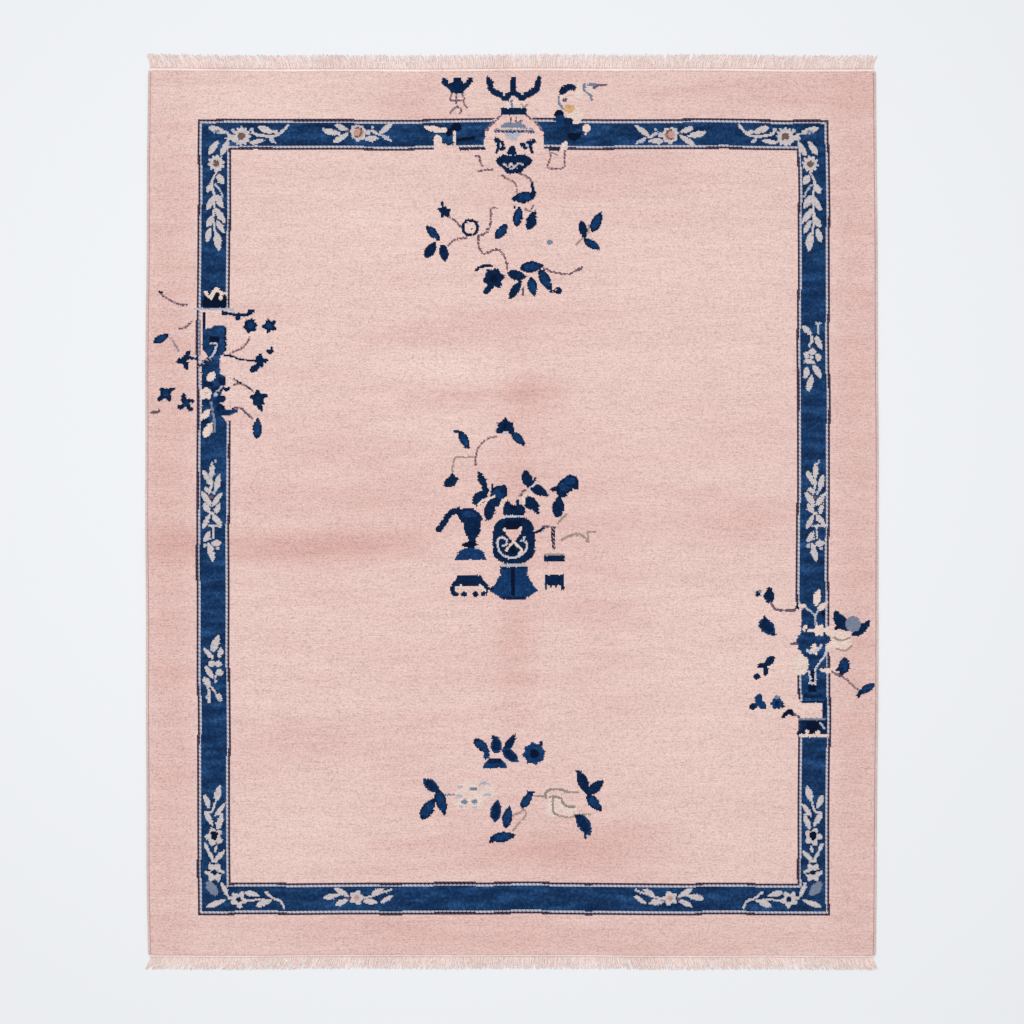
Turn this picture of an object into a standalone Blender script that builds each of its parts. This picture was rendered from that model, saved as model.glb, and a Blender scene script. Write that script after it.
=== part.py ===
"""Hand-knotted Chinese art deco room rug, laid flat on the plane z = 0.

Metres, +Z up. The length runs along Y and the width along X, and the origin is
under the centre of the outline. The knotted pile is one flat solid. A narrow
flat-woven band closes each end, the warp ends leave it as a fringe, and a cord
wrapped in wool runs along each side.
"""
import math

import bmesh
import bpy
import numpy as np

# Overall sizes
RUG_WIDTH = 2.440  # over both side cords, where the rug is widest
PILE_LENGTH = 2.938  # the knotted pile, from end band to end band
PILE_HEIGHT = 0.012  # foundation and pile together
PILE_ROUND = 0.004  # how far the cut pile rounds over along its edge
PILE_CORNER = 0.010  # radius of the four corners
CORD_WIDTH = 0.009  # oval section of the wrapped side cords
CORD_HEIGHT = 0.007
BAND_HEIGHT = 0.003
FRINGE_HEIGHT = 0.0025
GAP = 0.0003  # between pieces that touch

# The flat-woven band and the fringe of each end; out is +1 towards +Y
ENDS = [
    {"name": "north", "out": 1, "band": 0.009, "fringe": 0.050, "phase": 0.0},
    {"name": "south", "out": -1, "band": 0.006, "fringe": 0.045, "phase": 2.1},
]

# The side edges bow outwards and wander a little: amplitude in metres, waves
# along the rug's length, and phase in radians
SIDE_TAPER = 0.0085  # how much narrower each side is at the ends
SIDE_TAPER_POWER = 2.6
SIDE_WAVES = {
    -1: [(0.0011, 2.0, 0.6), (0.0006, 5.0, 2.0)],
    1: [(0.0009, 1.5, 1.9), (0.0006, 4.0, 0.3)],
}
END_WAVES = {
    1: [(0.0016, 1.5, 0.4), (0.0008, 4.0, 1.1)],
    -1: [(0.0014, 1.0, 2.2), (0.0009, 3.5, 0.2)],
}
WAVE_ALLOWANCE = 0.0017  # what the side waves may add, kept inside RUG_WIDTH

# Fringe
TOOTH_COUNT = 122
TOOTH_ROOT = 0.72  # root and tip widths, as shares of the pitch
TOOTH_TIP = 0.46
COMB_SPINE = 0.003  # depth of the strip that the warp ends leave
CORNER_LEAN = 0.012  # how far the last tips swing outwards
TIP_WANDER = 0.0026
SHORTEST_SHARE = 0.90  # shortest warp end over the longest

# How finely the outlines are divided
SIDE_STEPS = 24
END_STEPS = 20
CORNER_STEPS = 3
ROUND_STEPS = 3
CORD_SIDES = 10
WELD = 0.00001  # merge distance for end caps
SHARP = math.radians(40)  # edges steeper than this stay crisp
SQUARE = math.radians(60)  # edges steeper than this count as square corners

# Base colours, linear
PINK_WOOL = (0.730, 0.475, 0.435)
ROSE_WOOL = (0.560, 0.330, 0.300)
CREAM_COTTON = (0.800, 0.640, 0.590)
PALE_COTTON = (0.760, 0.520, 0.480)

# Ends take unequal room outside the pile, so the pile sits off the centre
END_REACH = {end["out"]: end["band"] + end["fringe"] + 2 * GAP for end in ENDS}
PILE_CENTRE_Y = (END_REACH[-1] - END_REACH[1]) / 2


def wave(rows, share):
    """Sum of a few sines of share, which runs from -1 to 1 along an edge."""
    return sum(size * math.sin(math.pi * waves * share + phase) for size, waves, phase in rows)


def side_x(side, y):
    """X of the rug's outer edge on one side (-1 or 1) at the height y."""
    share = (y - PILE_CENTRE_Y) / (PILE_LENGTH / 2)
    taper = SIDE_TAPER * min(abs(share), 1.0) ** SIDE_TAPER_POWER
    return side * (RUG_WIDTH / 2 - WAVE_ALLOWANCE - taper + wave(SIDE_WAVES[side], share))


def end_y(out, x):
    """Y of the pile's edge at one end (-1 or 1), at the place x across it."""
    share = x / (RUG_WIDTH / 2)
    return PILE_CENTRE_Y + out * (PILE_LENGTH / 2) + wave(END_WAVES[out], share)


def pile_x(side, y):
    """X of the pile's edge, just inside the side cord."""
    return side_x(side, y) - side * (CORD_WIDTH + GAP)


def new_material(name, colour, roughness):
    material = bpy.data.materials.new(name)
    material.use_nodes = True
    shader = material.node_tree.nodes["Principled BSDF"]
    shader.inputs["Base Color"].default_value = (*colour, 1.0)
    shader.inputs["Roughness"].default_value = roughness
    shader.inputs["Metallic"].default_value = 0.0
    return material


def new_object(name, data, collection, parent, material):
    piece = bpy.data.objects.new(name, data)
    collection.objects.link(piece)
    piece.parent = parent
    piece.data.materials.append(material)
    return piece


def flat_piece(name, outline, height, collection, parent, material):
    """A flat outline with a thickness, lying on z = 0."""
    curve = bpy.data.curves.new(name, "CURVE")
    curve.dimensions = "2D"
    curve.fill_mode = "BOTH"
    curve.extrude = height / 2
    spline = curve.splines.new("POLY")
    spline.points.add(len(outline) - 1)
    for point, (x, y) in zip(spline.points, outline):
        point.co = (x, y, 0.0, 1.0)
    spline.use_cyclic_u = True
    piece = new_object(name, curve, collection, parent, material)
    piece.location.z = height / 2
    return piece


def pile_outline():
    """The pile's outline, anticlockwise from its south-west corner."""
    low = PILE_CENTRE_Y - PILE_LENGTH / 2
    ys = low + np.linspace(0.0, PILE_LENGTH, SIDE_STEPS + 1)
    half = abs(pile_x(1, low))
    xs = np.linspace(-half, half, END_STEPS + 1)
    south = [(x, end_y(-1, x)) for x in xs[1:-1]]
    north = [(x, end_y(1, x)) for x in xs[-2:0:-1]]
    east = [(pile_x(1, y), y) for y in ys[1:-1]]
    west = [(pile_x(-1, y), y) for y in ys[-2:0:-1]]
    south_west, south_east, north_east, north_west = (
        (pile_x(side, ys[row]), end_y(out, side * half))
        for side, row, out in ((-1, 0, -1), (1, 0, -1), (1, -1, 1), (-1, -1, 1))
    )
    return [south_west, *south, south_east, *east, north_east, *north, north_west, *west]


def make_pile(collection, parent, material):
    """The knotted body: flat underneath, its cut edge rounded over on top."""
    outline = pile_outline()
    shape = bmesh.new()
    made = bmesh.ops.create_circle(shape, cap_ends=True, segments=len(outline), radius=1.0)
    for vertex, (x, y) in zip(made["verts"], outline):
        vertex.co = (x, y, 0.0)
    bottom = shape.faces[:]
    raised = bmesh.ops.extrude_face_region(shape, geom=bottom)["geom"]
    for vertex in (item for item in raised if isinstance(item, bmesh.types.BMVert)):
        vertex.co.z = PILE_HEIGHT
    bmesh.ops.recalc_face_normals(shape, faces=shape.faces[:])
    round_corners(shape)
    round_top(shape)
    mesh = bpy.data.meshes.new("pile_body")
    shape.to_mesh(mesh)
    shape.free()
    mesh.shade_smooth()
    mesh.set_sharp_from_angle(angle=SHARP)
    return new_object("pile_body", mesh, collection, parent, material)


def is_upright(edge):
    low, high = sorted(vertex.co.z for vertex in edge.verts)
    return high - low > PILE_HEIGHT / 2


def round_corners(shape):
    """Rounds the upright edges where two outline runs meet square."""
    corners = [
        edge for edge in shape.edges
        if is_upright(edge) and edge.calc_face_angle(0.0) > SQUARE
    ]
    bmesh.ops.bevel(
        shape, geom=corners, offset=PILE_CORNER, segments=CORNER_STEPS,
        profile=0.5, affect="EDGES", clamp_overlap=True,
    )


def round_top(shape):
    """Rounds the rim between the flat top and the side."""
    rim = [
        edge for edge in shape.edges
        if all(vertex.co.z > PILE_HEIGHT * 0.99 for vertex in edge.verts)
        and edge.calc_face_angle(0.0) > SQUARE
    ]
    bmesh.ops.bevel(
        shape, geom=rim, offset=PILE_ROUND, segments=ROUND_STEPS,
        profile=0.5, affect="EDGES", clamp_overlap=True,
    )


def make_band(end, collection, parent, material):
    """The flat-woven strip that holds the last row of knots."""
    out = end["out"]
    half = abs(side_x(1, end_y(out, 0.0))) - CORD_WIDTH / 2
    xs = np.linspace(-half, half, END_STEPS + 1)
    inner = [(x, end_y(out, x) + out * GAP) for x in xs]
    outer = [(x, y + out * end["band"]) for x, y in reversed(inner)]
    name = "woven_band_" + end["name"]
    return flat_piece(name, inner + outer, BAND_HEIGHT, collection, parent, material)


def tooth_length(end, index):
    """The longest tooth is one near the middle; the others vary by a slow and a quick wave."""
    slow = math.sin(index * 0.19 + end["phase"])
    quick = math.sin(index * 2.4 + end["phase"] * 3.0)
    share = 0.5 + 0.5 * (0.4 * slow + 0.6 * quick)
    if index == TOOTH_COUNT // 2:
        share = 1.0
    return end["fringe"] * (SHORTEST_SHARE + (1.0 - SHORTEST_SHARE) * share)


def make_fringe(end, collection, parent, material):
    """One comb of warp ends that lean outwards towards the rug's corners."""
    out = end["out"]
    half = abs(side_x(1, end_y(out, 0.0))) - CORD_WIDTH / 2
    start = end["band"] + 2 * GAP
    pitch = 2 * half / TOOTH_COUNT
    xs = np.linspace(half, -half, END_STEPS + 1)
    outline = [(x, end_y(out, x) + out * start) for x in xs]
    for index in range(TOOTH_COUNT):
        x = -half + pitch * (index + 0.5)
        lean = CORNER_LEAN * (x / half) ** 3
        tip = x + lean + TIP_WANDER * math.sin(index * 1.7 + end["phase"])
        tip = max(-RUG_WIDTH / 2 + pitch * TOOTH_TIP, min(RUG_WIDTH / 2 - pitch * TOOTH_TIP, tip))
        base = end_y(out, x) + out * (start + COMB_SPINE)
        point = PILE_CENTRE_Y + out * (PILE_LENGTH / 2 + start + tooth_length(end, index))
        root_half = pitch * TOOTH_ROOT / 2
        tip_half = pitch * TOOTH_TIP / 2
        outline += [
            (x - root_half, base),
            (tip - tip_half, point),
            (tip + tip_half, point),
            (x + root_half, base),
        ]
    name = "fringe_" + end["name"]
    return flat_piece(name, outline, FRINGE_HEIGHT, collection, parent, material)


def make_cord_section(cutters):
    """The oval that is swept along both sides."""
    curve = bpy.data.curves.new("cord_section", "CURVE")
    curve.dimensions = "2D"
    spline = curve.splines.new("POLY")
    spline.points.add(CORD_SIDES - 1)
    for index, point in enumerate(spline.points):
        angle = 2 * math.pi * (index + 0.5) / CORD_SIDES
        point.co = (CORD_WIDTH / 2 * math.cos(angle), CORD_HEIGHT / 2 * math.sin(angle), 0.0, 1.0)
    spline.use_cyclic_u = True
    section = bpy.data.objects.new("cord_section", curve)
    section.hide_render = True
    section.display_type = "WIRE"
    cutters.objects.link(section)
    return section


def make_side_cord(name, side, section, collection, parent, material):
    """The wrapped cord that binds one long side, swept and then closed at its ends."""
    low = end_y(-1, side * RUG_WIDTH / 2)
    high = end_y(1, side * RUG_WIDTH / 2)
    curve = bpy.data.curves.new(name, "CURVE")
    curve.dimensions = "3D"
    curve.twist_mode = "Z_UP"
    curve.bevel_mode = "OBJECT"
    curve.bevel_object = section
    curve.use_fill_caps = True
    spline = curve.splines.new("POLY")
    ys = np.linspace(low, high, SIDE_STEPS + 1)
    spline.points.add(SIDE_STEPS)
    for point, y in zip(spline.points, ys):
        point.co = (side_x(side, y) - side * CORD_WIDTH / 2, y, 0.0, 1.0)
    path = bpy.data.objects.new(name + "_path", curve)
    collection.objects.link(path)
    bpy.context.view_layer.update()
    mesh = closed_mesh(path, name)
    bpy.data.objects.remove(path, do_unlink=True)
    piece = new_object(name, mesh, collection, parent, material)
    piece.location.z = CORD_HEIGHT / 2
    return piece


def closed_mesh(path, name):
    """The evaluated sweep as a mesh, its end caps welded on and facing outwards."""
    evaluated = path.evaluated_get(bpy.context.evaluated_depsgraph_get())
    mesh = bpy.data.meshes.new_from_object(evaluated)
    mesh.name = name
    shape = bmesh.new()
    shape.from_mesh(mesh)
    bmesh.ops.remove_doubles(shape, verts=shape.verts[:], dist=WELD)
    bmesh.ops.recalc_face_normals(shape, faces=shape.faces[:])
    shape.to_mesh(mesh)
    shape.free()
    mesh.shade_smooth()
    mesh.set_sharp_from_angle(angle=SHARP)
    return mesh


def main():
    for old in list(bpy.data.objects):
        bpy.data.objects.remove(old, do_unlink=True)
    parts = bpy.data.collections.new("chinese_art_deco_rug")
    cutters = bpy.data.collections.new("cutters")
    bpy.context.scene.collection.children.link(parts)
    bpy.context.scene.collection.children.link(cutters)
    rug = bpy.data.objects.new("rug", None)
    parts.objects.link(rug)

    pile = new_material("pile_wool", PINK_WOOL, 0.95)
    cord = new_material("side_cord_wool", ROSE_WOOL, 0.9)
    band = new_material("band_cotton", CREAM_COTTON, 0.9)
    fringe = new_material("fringe_cotton", PALE_COTTON, 0.9)

    make_pile(parts, rug, pile)
    for end in ENDS:
        make_band(end, parts, rug, band)
        make_fringe(end, parts, rug, fringe)
    section = make_cord_section(cutters)
    for name, side in (("side_cord_west", -1), ("side_cord_east", 1)):
        make_side_cord(name, side, section, parts, rug, cord)


main()
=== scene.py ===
import math
import bpy
import numpy as np
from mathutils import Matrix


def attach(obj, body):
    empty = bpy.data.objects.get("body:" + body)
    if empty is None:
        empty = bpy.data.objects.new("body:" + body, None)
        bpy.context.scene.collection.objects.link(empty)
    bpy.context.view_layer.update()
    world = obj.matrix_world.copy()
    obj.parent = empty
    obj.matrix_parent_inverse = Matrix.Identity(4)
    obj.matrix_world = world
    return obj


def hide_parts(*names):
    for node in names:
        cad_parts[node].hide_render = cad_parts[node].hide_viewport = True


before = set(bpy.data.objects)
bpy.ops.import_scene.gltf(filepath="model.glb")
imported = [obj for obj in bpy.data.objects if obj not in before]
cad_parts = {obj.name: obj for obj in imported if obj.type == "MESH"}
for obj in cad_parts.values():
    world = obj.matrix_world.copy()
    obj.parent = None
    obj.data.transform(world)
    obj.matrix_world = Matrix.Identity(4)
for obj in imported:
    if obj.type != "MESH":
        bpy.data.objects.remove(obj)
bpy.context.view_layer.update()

# Everything is in metres, +Z up, the rug's north end towards +Y. The design is worked out in knots:
# one knot is a 724th of the pile's width and an 880th of its length, about 3.3 mm, ninety to the foot.

rug = dict(width=2.440, pileLength=2.938, centreY=-0.004, pileHeight=0.012, cordWidth=0.009, gap=0.0003,
           taper=0.0085, taperPower=2.6, waveRoom=0.0017)
sideWaves = {-1: [(0.0011, 2.0, 0.6), (0.0006, 5.0, 2.0)],   # size, half waves to the end, phase
             1: [(0.0009, 1.5, 1.9), (0.0006, 4.0, 0.3)]}
endWaves = {1: [(0.0016, 1.5, 0.4), (0.0008, 4.0, 1.1)],
            -1: [(0.0014, 1.0, 2.2), (0.0009, 3.5, 0.2)]}


def wander(waves, share):
    # a sum of sines along an edge, share running from -1 to 1
    return sum(size * np.sin(math.pi * count * share + phase) for size, count, phase in waves)


def sideX(side, y):
    # outer edge of the west (-1) or east (1) side: half the width, less a taper towards the ends
    share = (y - rug["centreY"]) / (rug["pileLength"] / 2)
    drawnIn = rug["taper"] * np.minimum(np.abs(share), 1) ** rug["taperPower"]
    return side * (rug["width"] / 2 - rug["waveRoom"] - drawnIn + wander(sideWaves[side], share))


def endY(out, x):
    # edge of the pile at the north (1) or south (-1) end
    return rug["centreY"] + out * rug["pileLength"] / 2 + wander(endWaves[out], x / (rug["width"] / 2))


def pileX(side, y):
    return sideX(side, y) - side * (rug["cordWidth"] + rug["gap"])


def linear(colour):
    # a screen colour of three numbers up to 255, as the linear colour that shaders take
    share = np.array(colour) / 255
    return tuple(np.where(share <= 0.04045, share / 12.92, ((share + 0.055) / 1.055) ** 2.4)) + (1.0,)


def setSocket(tree, socket, value):
    # another node's socket is linked, and a plain value is set
    if isinstance(value, bpy.types.NodeSocket):
        tree.links.new(value, socket)
    else:
        socket.default_value = value


def addNode(tree, kind, inputs=None, **settings):
    made = tree.nodes.new(kind)
    for name, value in settings.items():
        setattr(made, name, value)
    for key, value in (inputs or {}).items():
        setSocket(tree, made.inputs[key], value)
    return made


def calculate(tree, how, first, second):
    return addNode(tree, "ShaderNodeMath", {0: first, 1: second}, operation=how).outputs[0]


def compare(tree, value, middle, reach):
    # 1 where the value is within reach of the middle, and 0 elsewhere
    return addNode(tree, "ShaderNodeMath", {0: value, 1: middle, 2: reach}, operation="COMPARE").outputs[0]


def stretch(tree, place, scale):
    return addNode(tree, "ShaderNodeMapping", {0: place, "Scale": scale}).outputs[0]


def noise(tree, place, scale, detail, roughness=0.5):
    return addNode(tree, "ShaderNodeTexNoise", {"Vector": place, "Scale": scale, "Detail": detail,
                                                "Roughness": roughness}).outputs[0]


def ramp(tree, value, stops, interpolation="LINEAR"):
    # a colour ramp with stops of (place, colour)
    made = addNode(tree, "ShaderNodeValToRGB", {0: value})
    band = made.color_ramp
    band.interpolation = interpolation
    for place, colour in stops[1:-1]:
        band.elements.new(place)
    for element, (place, colour) in zip(band.elements, stops):
        element.position = place
        element.color = colour
    return made.outputs["Color"]


def blend(tree, factor, first, second, how="MIX"):
    # two colours mixed: sockets 0, 6 and 7 are the factor and the two colours
    made = addNode(tree, "ShaderNodeMix", {0: factor}, data_type="RGBA", blend_type=how)
    setSocket(tree, made.inputs[6], first)
    setSocket(tree, made.inputs[7], second)
    return made.outputs[2]


def newGroup(name, inputs, outputs):
    # an empty shader group, inputs as name: value and outputs as name: socket kind
    tree = bpy.data.node_groups.new(name, "ShaderNodeTree")
    for label, value in inputs.items():
        socket = tree.interface.new_socket(label, in_out="INPUT", socket_type="NodeSocketFloat")
        socket.default_value = value
    for label, kind in outputs.items():
        tree.interface.new_socket(label, in_out="OUTPUT", socket_type=kind)
    return tree, tree.nodes.new("NodeGroupInput").outputs, tree.nodes.new("NodeGroupOutput").inputs


def newMaterial(name):
    made = bpy.data.materials.new(name)
    made.use_nodes = True
    made.node_tree.nodes.clear()
    return made, made.node_tree


def useGroup(tree, group, **values):
    made = addNode(tree, "ShaderNodeGroup", node_tree=group)
    for label, value in values.items():
        made.inputs[label].default_value = value
    return made.outputs


dullFinish = dict(specular=0.08, sheenRoughness=0.5)


def cloth(tree, colour, height, roughness, strength, distance, sheen):
    # the surface of wool or cotton: the colour, a bump from the height, a dull finish and a soft sheen
    bump = addNode(tree, "ShaderNodeBump", {"Height": height, "Strength": strength, "Distance": distance})
    surface = addNode(tree, "ShaderNodeBsdfPrincipled",
                      {"Base Color": colour, "Normal": bump.outputs[0], "Roughness": roughness,
                       "Specular IOR Level": dullFinish["specular"], "Sheen Weight": sheen,
                       "Sheen Roughness": dullFinish["sheenRoughness"]})
    addNode(tree, "ShaderNodeOutputMaterial", {"Surface": surface.outputs[0]})


def buildMesh(name, points, faces, parts=None, smooth=True):
    # a mesh object from an array of points and a list of faces, parts being the faces' materials
    mesh = bpy.data.meshes.new(name)
    mesh.from_pydata(points.tolist(), [], faces)
    if parts is not None:
        mesh.polygons.foreach_set("material_index", parts.astype(np.int32))
    mesh.polygons.foreach_set("use_smooth", np.full(len(faces), smooth))
    made = bpy.data.objects.new(name, mesh)
    bpy.context.scene.collection.objects.link(made)
    return made


def gridFaces(number):
    # the four-sided faces of a grid of numbered points
    corners = [number[:-1, :-1], number[:-1, 1:], number[1:, 1:], number[1:, :-1]]
    return np.stack(corners, axis=-1).reshape(-1, 4)


def edgeLoop(number):
    # the numbered points round a grid's edge, starting at its first corner
    return np.concatenate([number[0, :-1], number[:-1, -1], number[-1, :0:-1], number[:0:-1, 0]])


def wallFaces(near, far, axis=None):
    # the faces between two closed loops of points
    return np.stack([near, far, np.roll(far, -1, axis=axis), np.roll(near, -1, axis=axis)], axis=-1)


# The design, charted knot by knot

tones = dict(ground=(226, 195, 188), blue=(20, 52, 92), guard=(40, 36, 56), navy=(6, 32, 66),
             midBlue=(16, 52, 96), white=(196, 191, 199), spray=(198, 189, 190), brown=(112, 88, 80),
             stem=(104, 84, 100), greyBlue=(118, 128, 148), cream=(226, 204, 194), greyGreen=(150, 138, 130),
             tan=(205, 165, 120), paleBlue=(176, 178, 190), rosy=(190, 150, 140), inky=(4, 18, 44))
toneNumber = {name: number for number, name in enumerate(tones)}
chartSize = dict(across=724, along=880, perFace=4)   # a face of the pile holds four knots each way
bare = -1   # a knot that no motif dyes
chart = np.full((chartSize["along"], chartSize["across"]), bare)   # south row first


def knotSpan(low, high, count):
    # the knots from low to high counted from the middle, two more at both ends, and their centres
    first, last = (int(np.clip(round(end + count / 2 + spare), 0, count))
                   for end, spare in ((low, -2), (high, 2)))
    return slice(first, last), np.arange(first, last) + 0.5 - count / 2


def window(x0, x1, y0, y1):
    # the part of the chart from x0 to x1 and y0 to y1, and the places of its knots
    rowSpan, rowCentres = knotSpan(y0, y1, chartSize["along"])
    columnSpan, columnCentres = knotSpan(x0, x1, chartSize["across"])
    across, along = np.meshgrid(columnCentres, rowCentres)
    return (rowSpan, columnSpan), across, along


def dye(place, inside, tone):
    chart[place][inside] = toneNumber[tone]


def paintBox(at, flip, x0, y0, x1, y1, tone):
    xs = sorted((at[0] + flip * x0, at[0] + flip * x1))
    ys = sorted((at[1] + y0, at[1] + y1))
    place, x, y = window(*xs, *ys)
    dye(place, (x >= xs[0]) & (x <= xs[1]) & (y >= ys[0]) & (y <= ys[1]), tone)


def paintDisc(at, flip, x, y, halfWidth, halfHeight, tone, smallest=0.9):
    x, y = at[0] + flip * x, at[1] + y
    place, across, along = window(x - halfWidth, x + halfWidth, y - halfHeight, y + halfHeight)
    reach = ((across - x) / max(halfWidth, smallest)) ** 2 + ((along - y) / max(halfHeight, smallest)) ** 2
    dye(place, reach <= 1, tone)


def paintRing(at, flip, x, y, radius, thick, tone):
    x, y = at[0] + flip * x, at[1] + y
    outer = radius + thick
    place, across, along = window(x - outer, x + outer, y - outer, y + outer)
    dye(place, np.abs(np.hypot(across - x, along - y) - radius) <= thick / 2, tone)


# a leaf's half width over the width given, then its outline's powers, and how much of it the shade takes
leafShape = dict(plump=0.57, slimmer=dict(spray=0.43, cream=0.48), lean=0.85, blunt=0.75,
                 shadeWidth=0.62, shadeFrom=0.18, shadeTo=0.8)


def paintLeaf(at, flip, x, y, length, width, turn, tone, shade=None):
    # a pointed leaf: its half width follows a sine from stalk to tip, and shade dyes its middle
    x, y = at[0] + flip * x, at[1] + y
    turn = math.radians(turn if flip > 0 else 180 - turn)
    place, across, along = window(x - length / 2, x + length / 2, y - length / 2, y + length / 2)
    share = ((across - x) * math.cos(turn) + (along - y) * math.sin(turn)) / length + 0.5
    off = np.abs((along - y) * math.cos(turn) - (across - x) * math.sin(turn))
    swell = np.sin(math.pi * np.clip(share, 0, 1) ** leafShape["lean"]) ** leafShape["blunt"]
    half = leafShape["slimmer"].get(tone, leafShape["plump"]) * width * swell
    inside = (off <= half) & (share > 0) & (share < 1)
    dye(place, inside, tone)
    if shade:
        middle = (share > leafShape["shadeFrom"]) & (share < leafShape["shadeTo"])
        dye(place, inside & middle & (off < leafShape["shadeWidth"] * half), shade)


def paintFlower(at, flip, x, y, radius, petals, depth, turn, tone, eye=0, eyeTone=None):
    # a round of petals: the radius goes in and out with the cosine of the petals' angle
    x, y = at[0] + flip * x, at[1] + y
    place, across, along = window(x - radius, x + radius, y - radius, y + radius)
    angle = np.arctan2(along - y, flip * (across - x)) - math.radians(turn)
    reach = radius * (1 - depth * (0.5 - 0.5 * np.cos(petals * angle)))
    away = np.hypot(across - x, along - y)
    dye(place, away <= reach, tone)
    if eyeTone:
        dye(place, away <= eye, eyeTone)


def curveThrough(points, count):
    # a smooth line through the points: each stretch is a cubic with the neighbours' slopes
    padded = np.vstack([2 * points[0] - points[1], points, 2 * points[-1] - points[-2]])
    share = np.linspace(0, len(points) - 1, count, endpoint=True)
    start = np.minimum(share.astype(int), len(points) - 2)
    t = (share - start)[:, None]
    a, b, c, d = (padded[start + step] for step in range(4))
    bend = (2 * a - 5 * b + 4 * c - d) * t ** 2
    twist = (3 * b - a - 3 * c + d) * t ** 3
    return 0.5 * (2 * b + (c - a) * t + bend + twist)


stemLine = dict(stepsPerPoint=12, room=3, spread=0.2, thinnest=1.0, paler="rosy")


def everyFourth(x, y):
    return (np.floor(x) + np.floor(y)) % 4 == 0


def paintStem(at, flip, tone, width, dotted, points):
    # a line of knots as wide as width; in a dotted one every fourth knot is paler
    points = np.array(points, dtype=float) * (flip, 1) + at
    line = curveThrough(points, stemLine["stepsPerPoint"] * len(points))
    lowX, lowY = line.min(axis=0) - stemLine["room"]
    highX, highY = line.max(axis=0) + stemLine["room"]
    place, x, y = window(lowX, highX, lowY, highY)
    away = np.hypot(x[..., None] - line[:, 0], y[..., None] - line[:, 1]).min(axis=2)
    inside = away <= max(width / 2 + stemLine["spread"], stemLine["thinnest"])
    dye(place, inside, tone)
    if dotted:
        dye(place, inside & everyFourth(x, y), stemLine["paler"])


def paintTurned(at, flip, x, tone, profile):
    # a vessel or stand, as broad on both sides of its middle x, profile giving height and half width
    paintPanel(at, flip, tone, [(y, x - half, x + half) for y, half in profile])


def paintPanel(at, flip, tone, profile):
    # a shape between two edges, profile giving height, left edge and right edge from the top down
    heights, left, right = np.array(profile, dtype=float).T
    ends = sorted((flip * left.min(), flip * right.max()))
    place, x, y = window(at[0] + ends[0], at[0] + ends[1], at[1] + heights.min(), at[1] + heights.max())
    rise = y - at[1]
    across = flip * (x - at[0])
    leftEdge = np.interp(-rise, -heights, left)
    rightEdge = np.interp(-rise, -heights, right)
    inHeight = (rise <= heights[0]) & (rise >= heights[-1])
    dye(place, (across >= leftEdge) & (across <= rightEdge) & inHeight, tone)


painters = dict(box=paintBox, disc=paintDisc, ring=paintRing, leaf=paintLeaf, flower=paintFlower,
                stem=paintStem, turned=paintTurned, panel=paintPanel)


def paintMotif(rows, at, flip):
    # rows are a painter's name and its own columns, all from the motif's middle at, flip -1 mirrors it
    for painter, *columns in rows:
        painters[painter](at, flip, *columns)


# each side's outer and inner line, and the waves as length, phase and share
border = dict(west=(-315, -281.5), east=(318.5, 284.5), north=(393.6, 362.8), south=(-400.9, -368.7),
              guard=2.2, light=1.8, wobble=0.45, sideWaves=((41, 0, 1), (17, 1, 0.6)),
              endWaves=((37, 2, 1), (15, 0, 0.6)), bowReach=200, outerBow=(1.7, 1.7), innerBow=(2.9, 1.4))


def borderWave(name, place):
    waves = (share * np.sin(place / length + phase) for length, phase, share in border[name])
    return border["wobble"] * sum(waves)


def insideLine(line, bow, x, y):
    # how many knots each place lies inside the frame's outer (0) or inner (1) line
    west, east, north, south = (border[side][line] for side in ("west", "east", "north", "south"))
    wave = borderWave("sideWaves", y)
    rise = borderWave("endWaves", x)
    return np.minimum.reduce([x - west - wave, east - x + wave + bow, north - y + rise, y - south - rise])


def chartBorder():
    # a blue frame between two pairs of guard lines, every line wandering by less than a knot, and every
    # fourth knot along the guard and the white line in a paler or greyer wool
    x, y = np.meshgrid(np.arange(chartSize["across"]) - chartSize["across"] / 2 + 0.5,
                       np.arange(chartSize["along"]) - chartSize["along"] / 2 + 0.5)
    away = np.tanh((y / border["bowReach"]) ** 2)   # the east side bows in at its middle
    outerBow, innerBow = (more * away - less for more, less in (border["outerBow"], border["innerBow"]))
    steps = np.minimum(insideLine(0, outerBow, x, y), -insideLine(1, innerBow, x, y))
    fine = np.zeros(x.shape, dtype=int)
    whiteFrom = border["guard"]
    blueFrom = whiteFrom + border["light"]
    stripes = ((0, "guard", "stem"), (whiteFrom, "white", "greyBlue"), (blueFrom, "blue", "blue"))
    for past, tone, odd in stripes:
        fine[steps >= past] = toneNumber[tone]
        fine[(steps >= past) & everyFourth(x, y)] = toneNumber[odd]
    return fine


# The motifs' rows, in knots from each motif's middle

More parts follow.
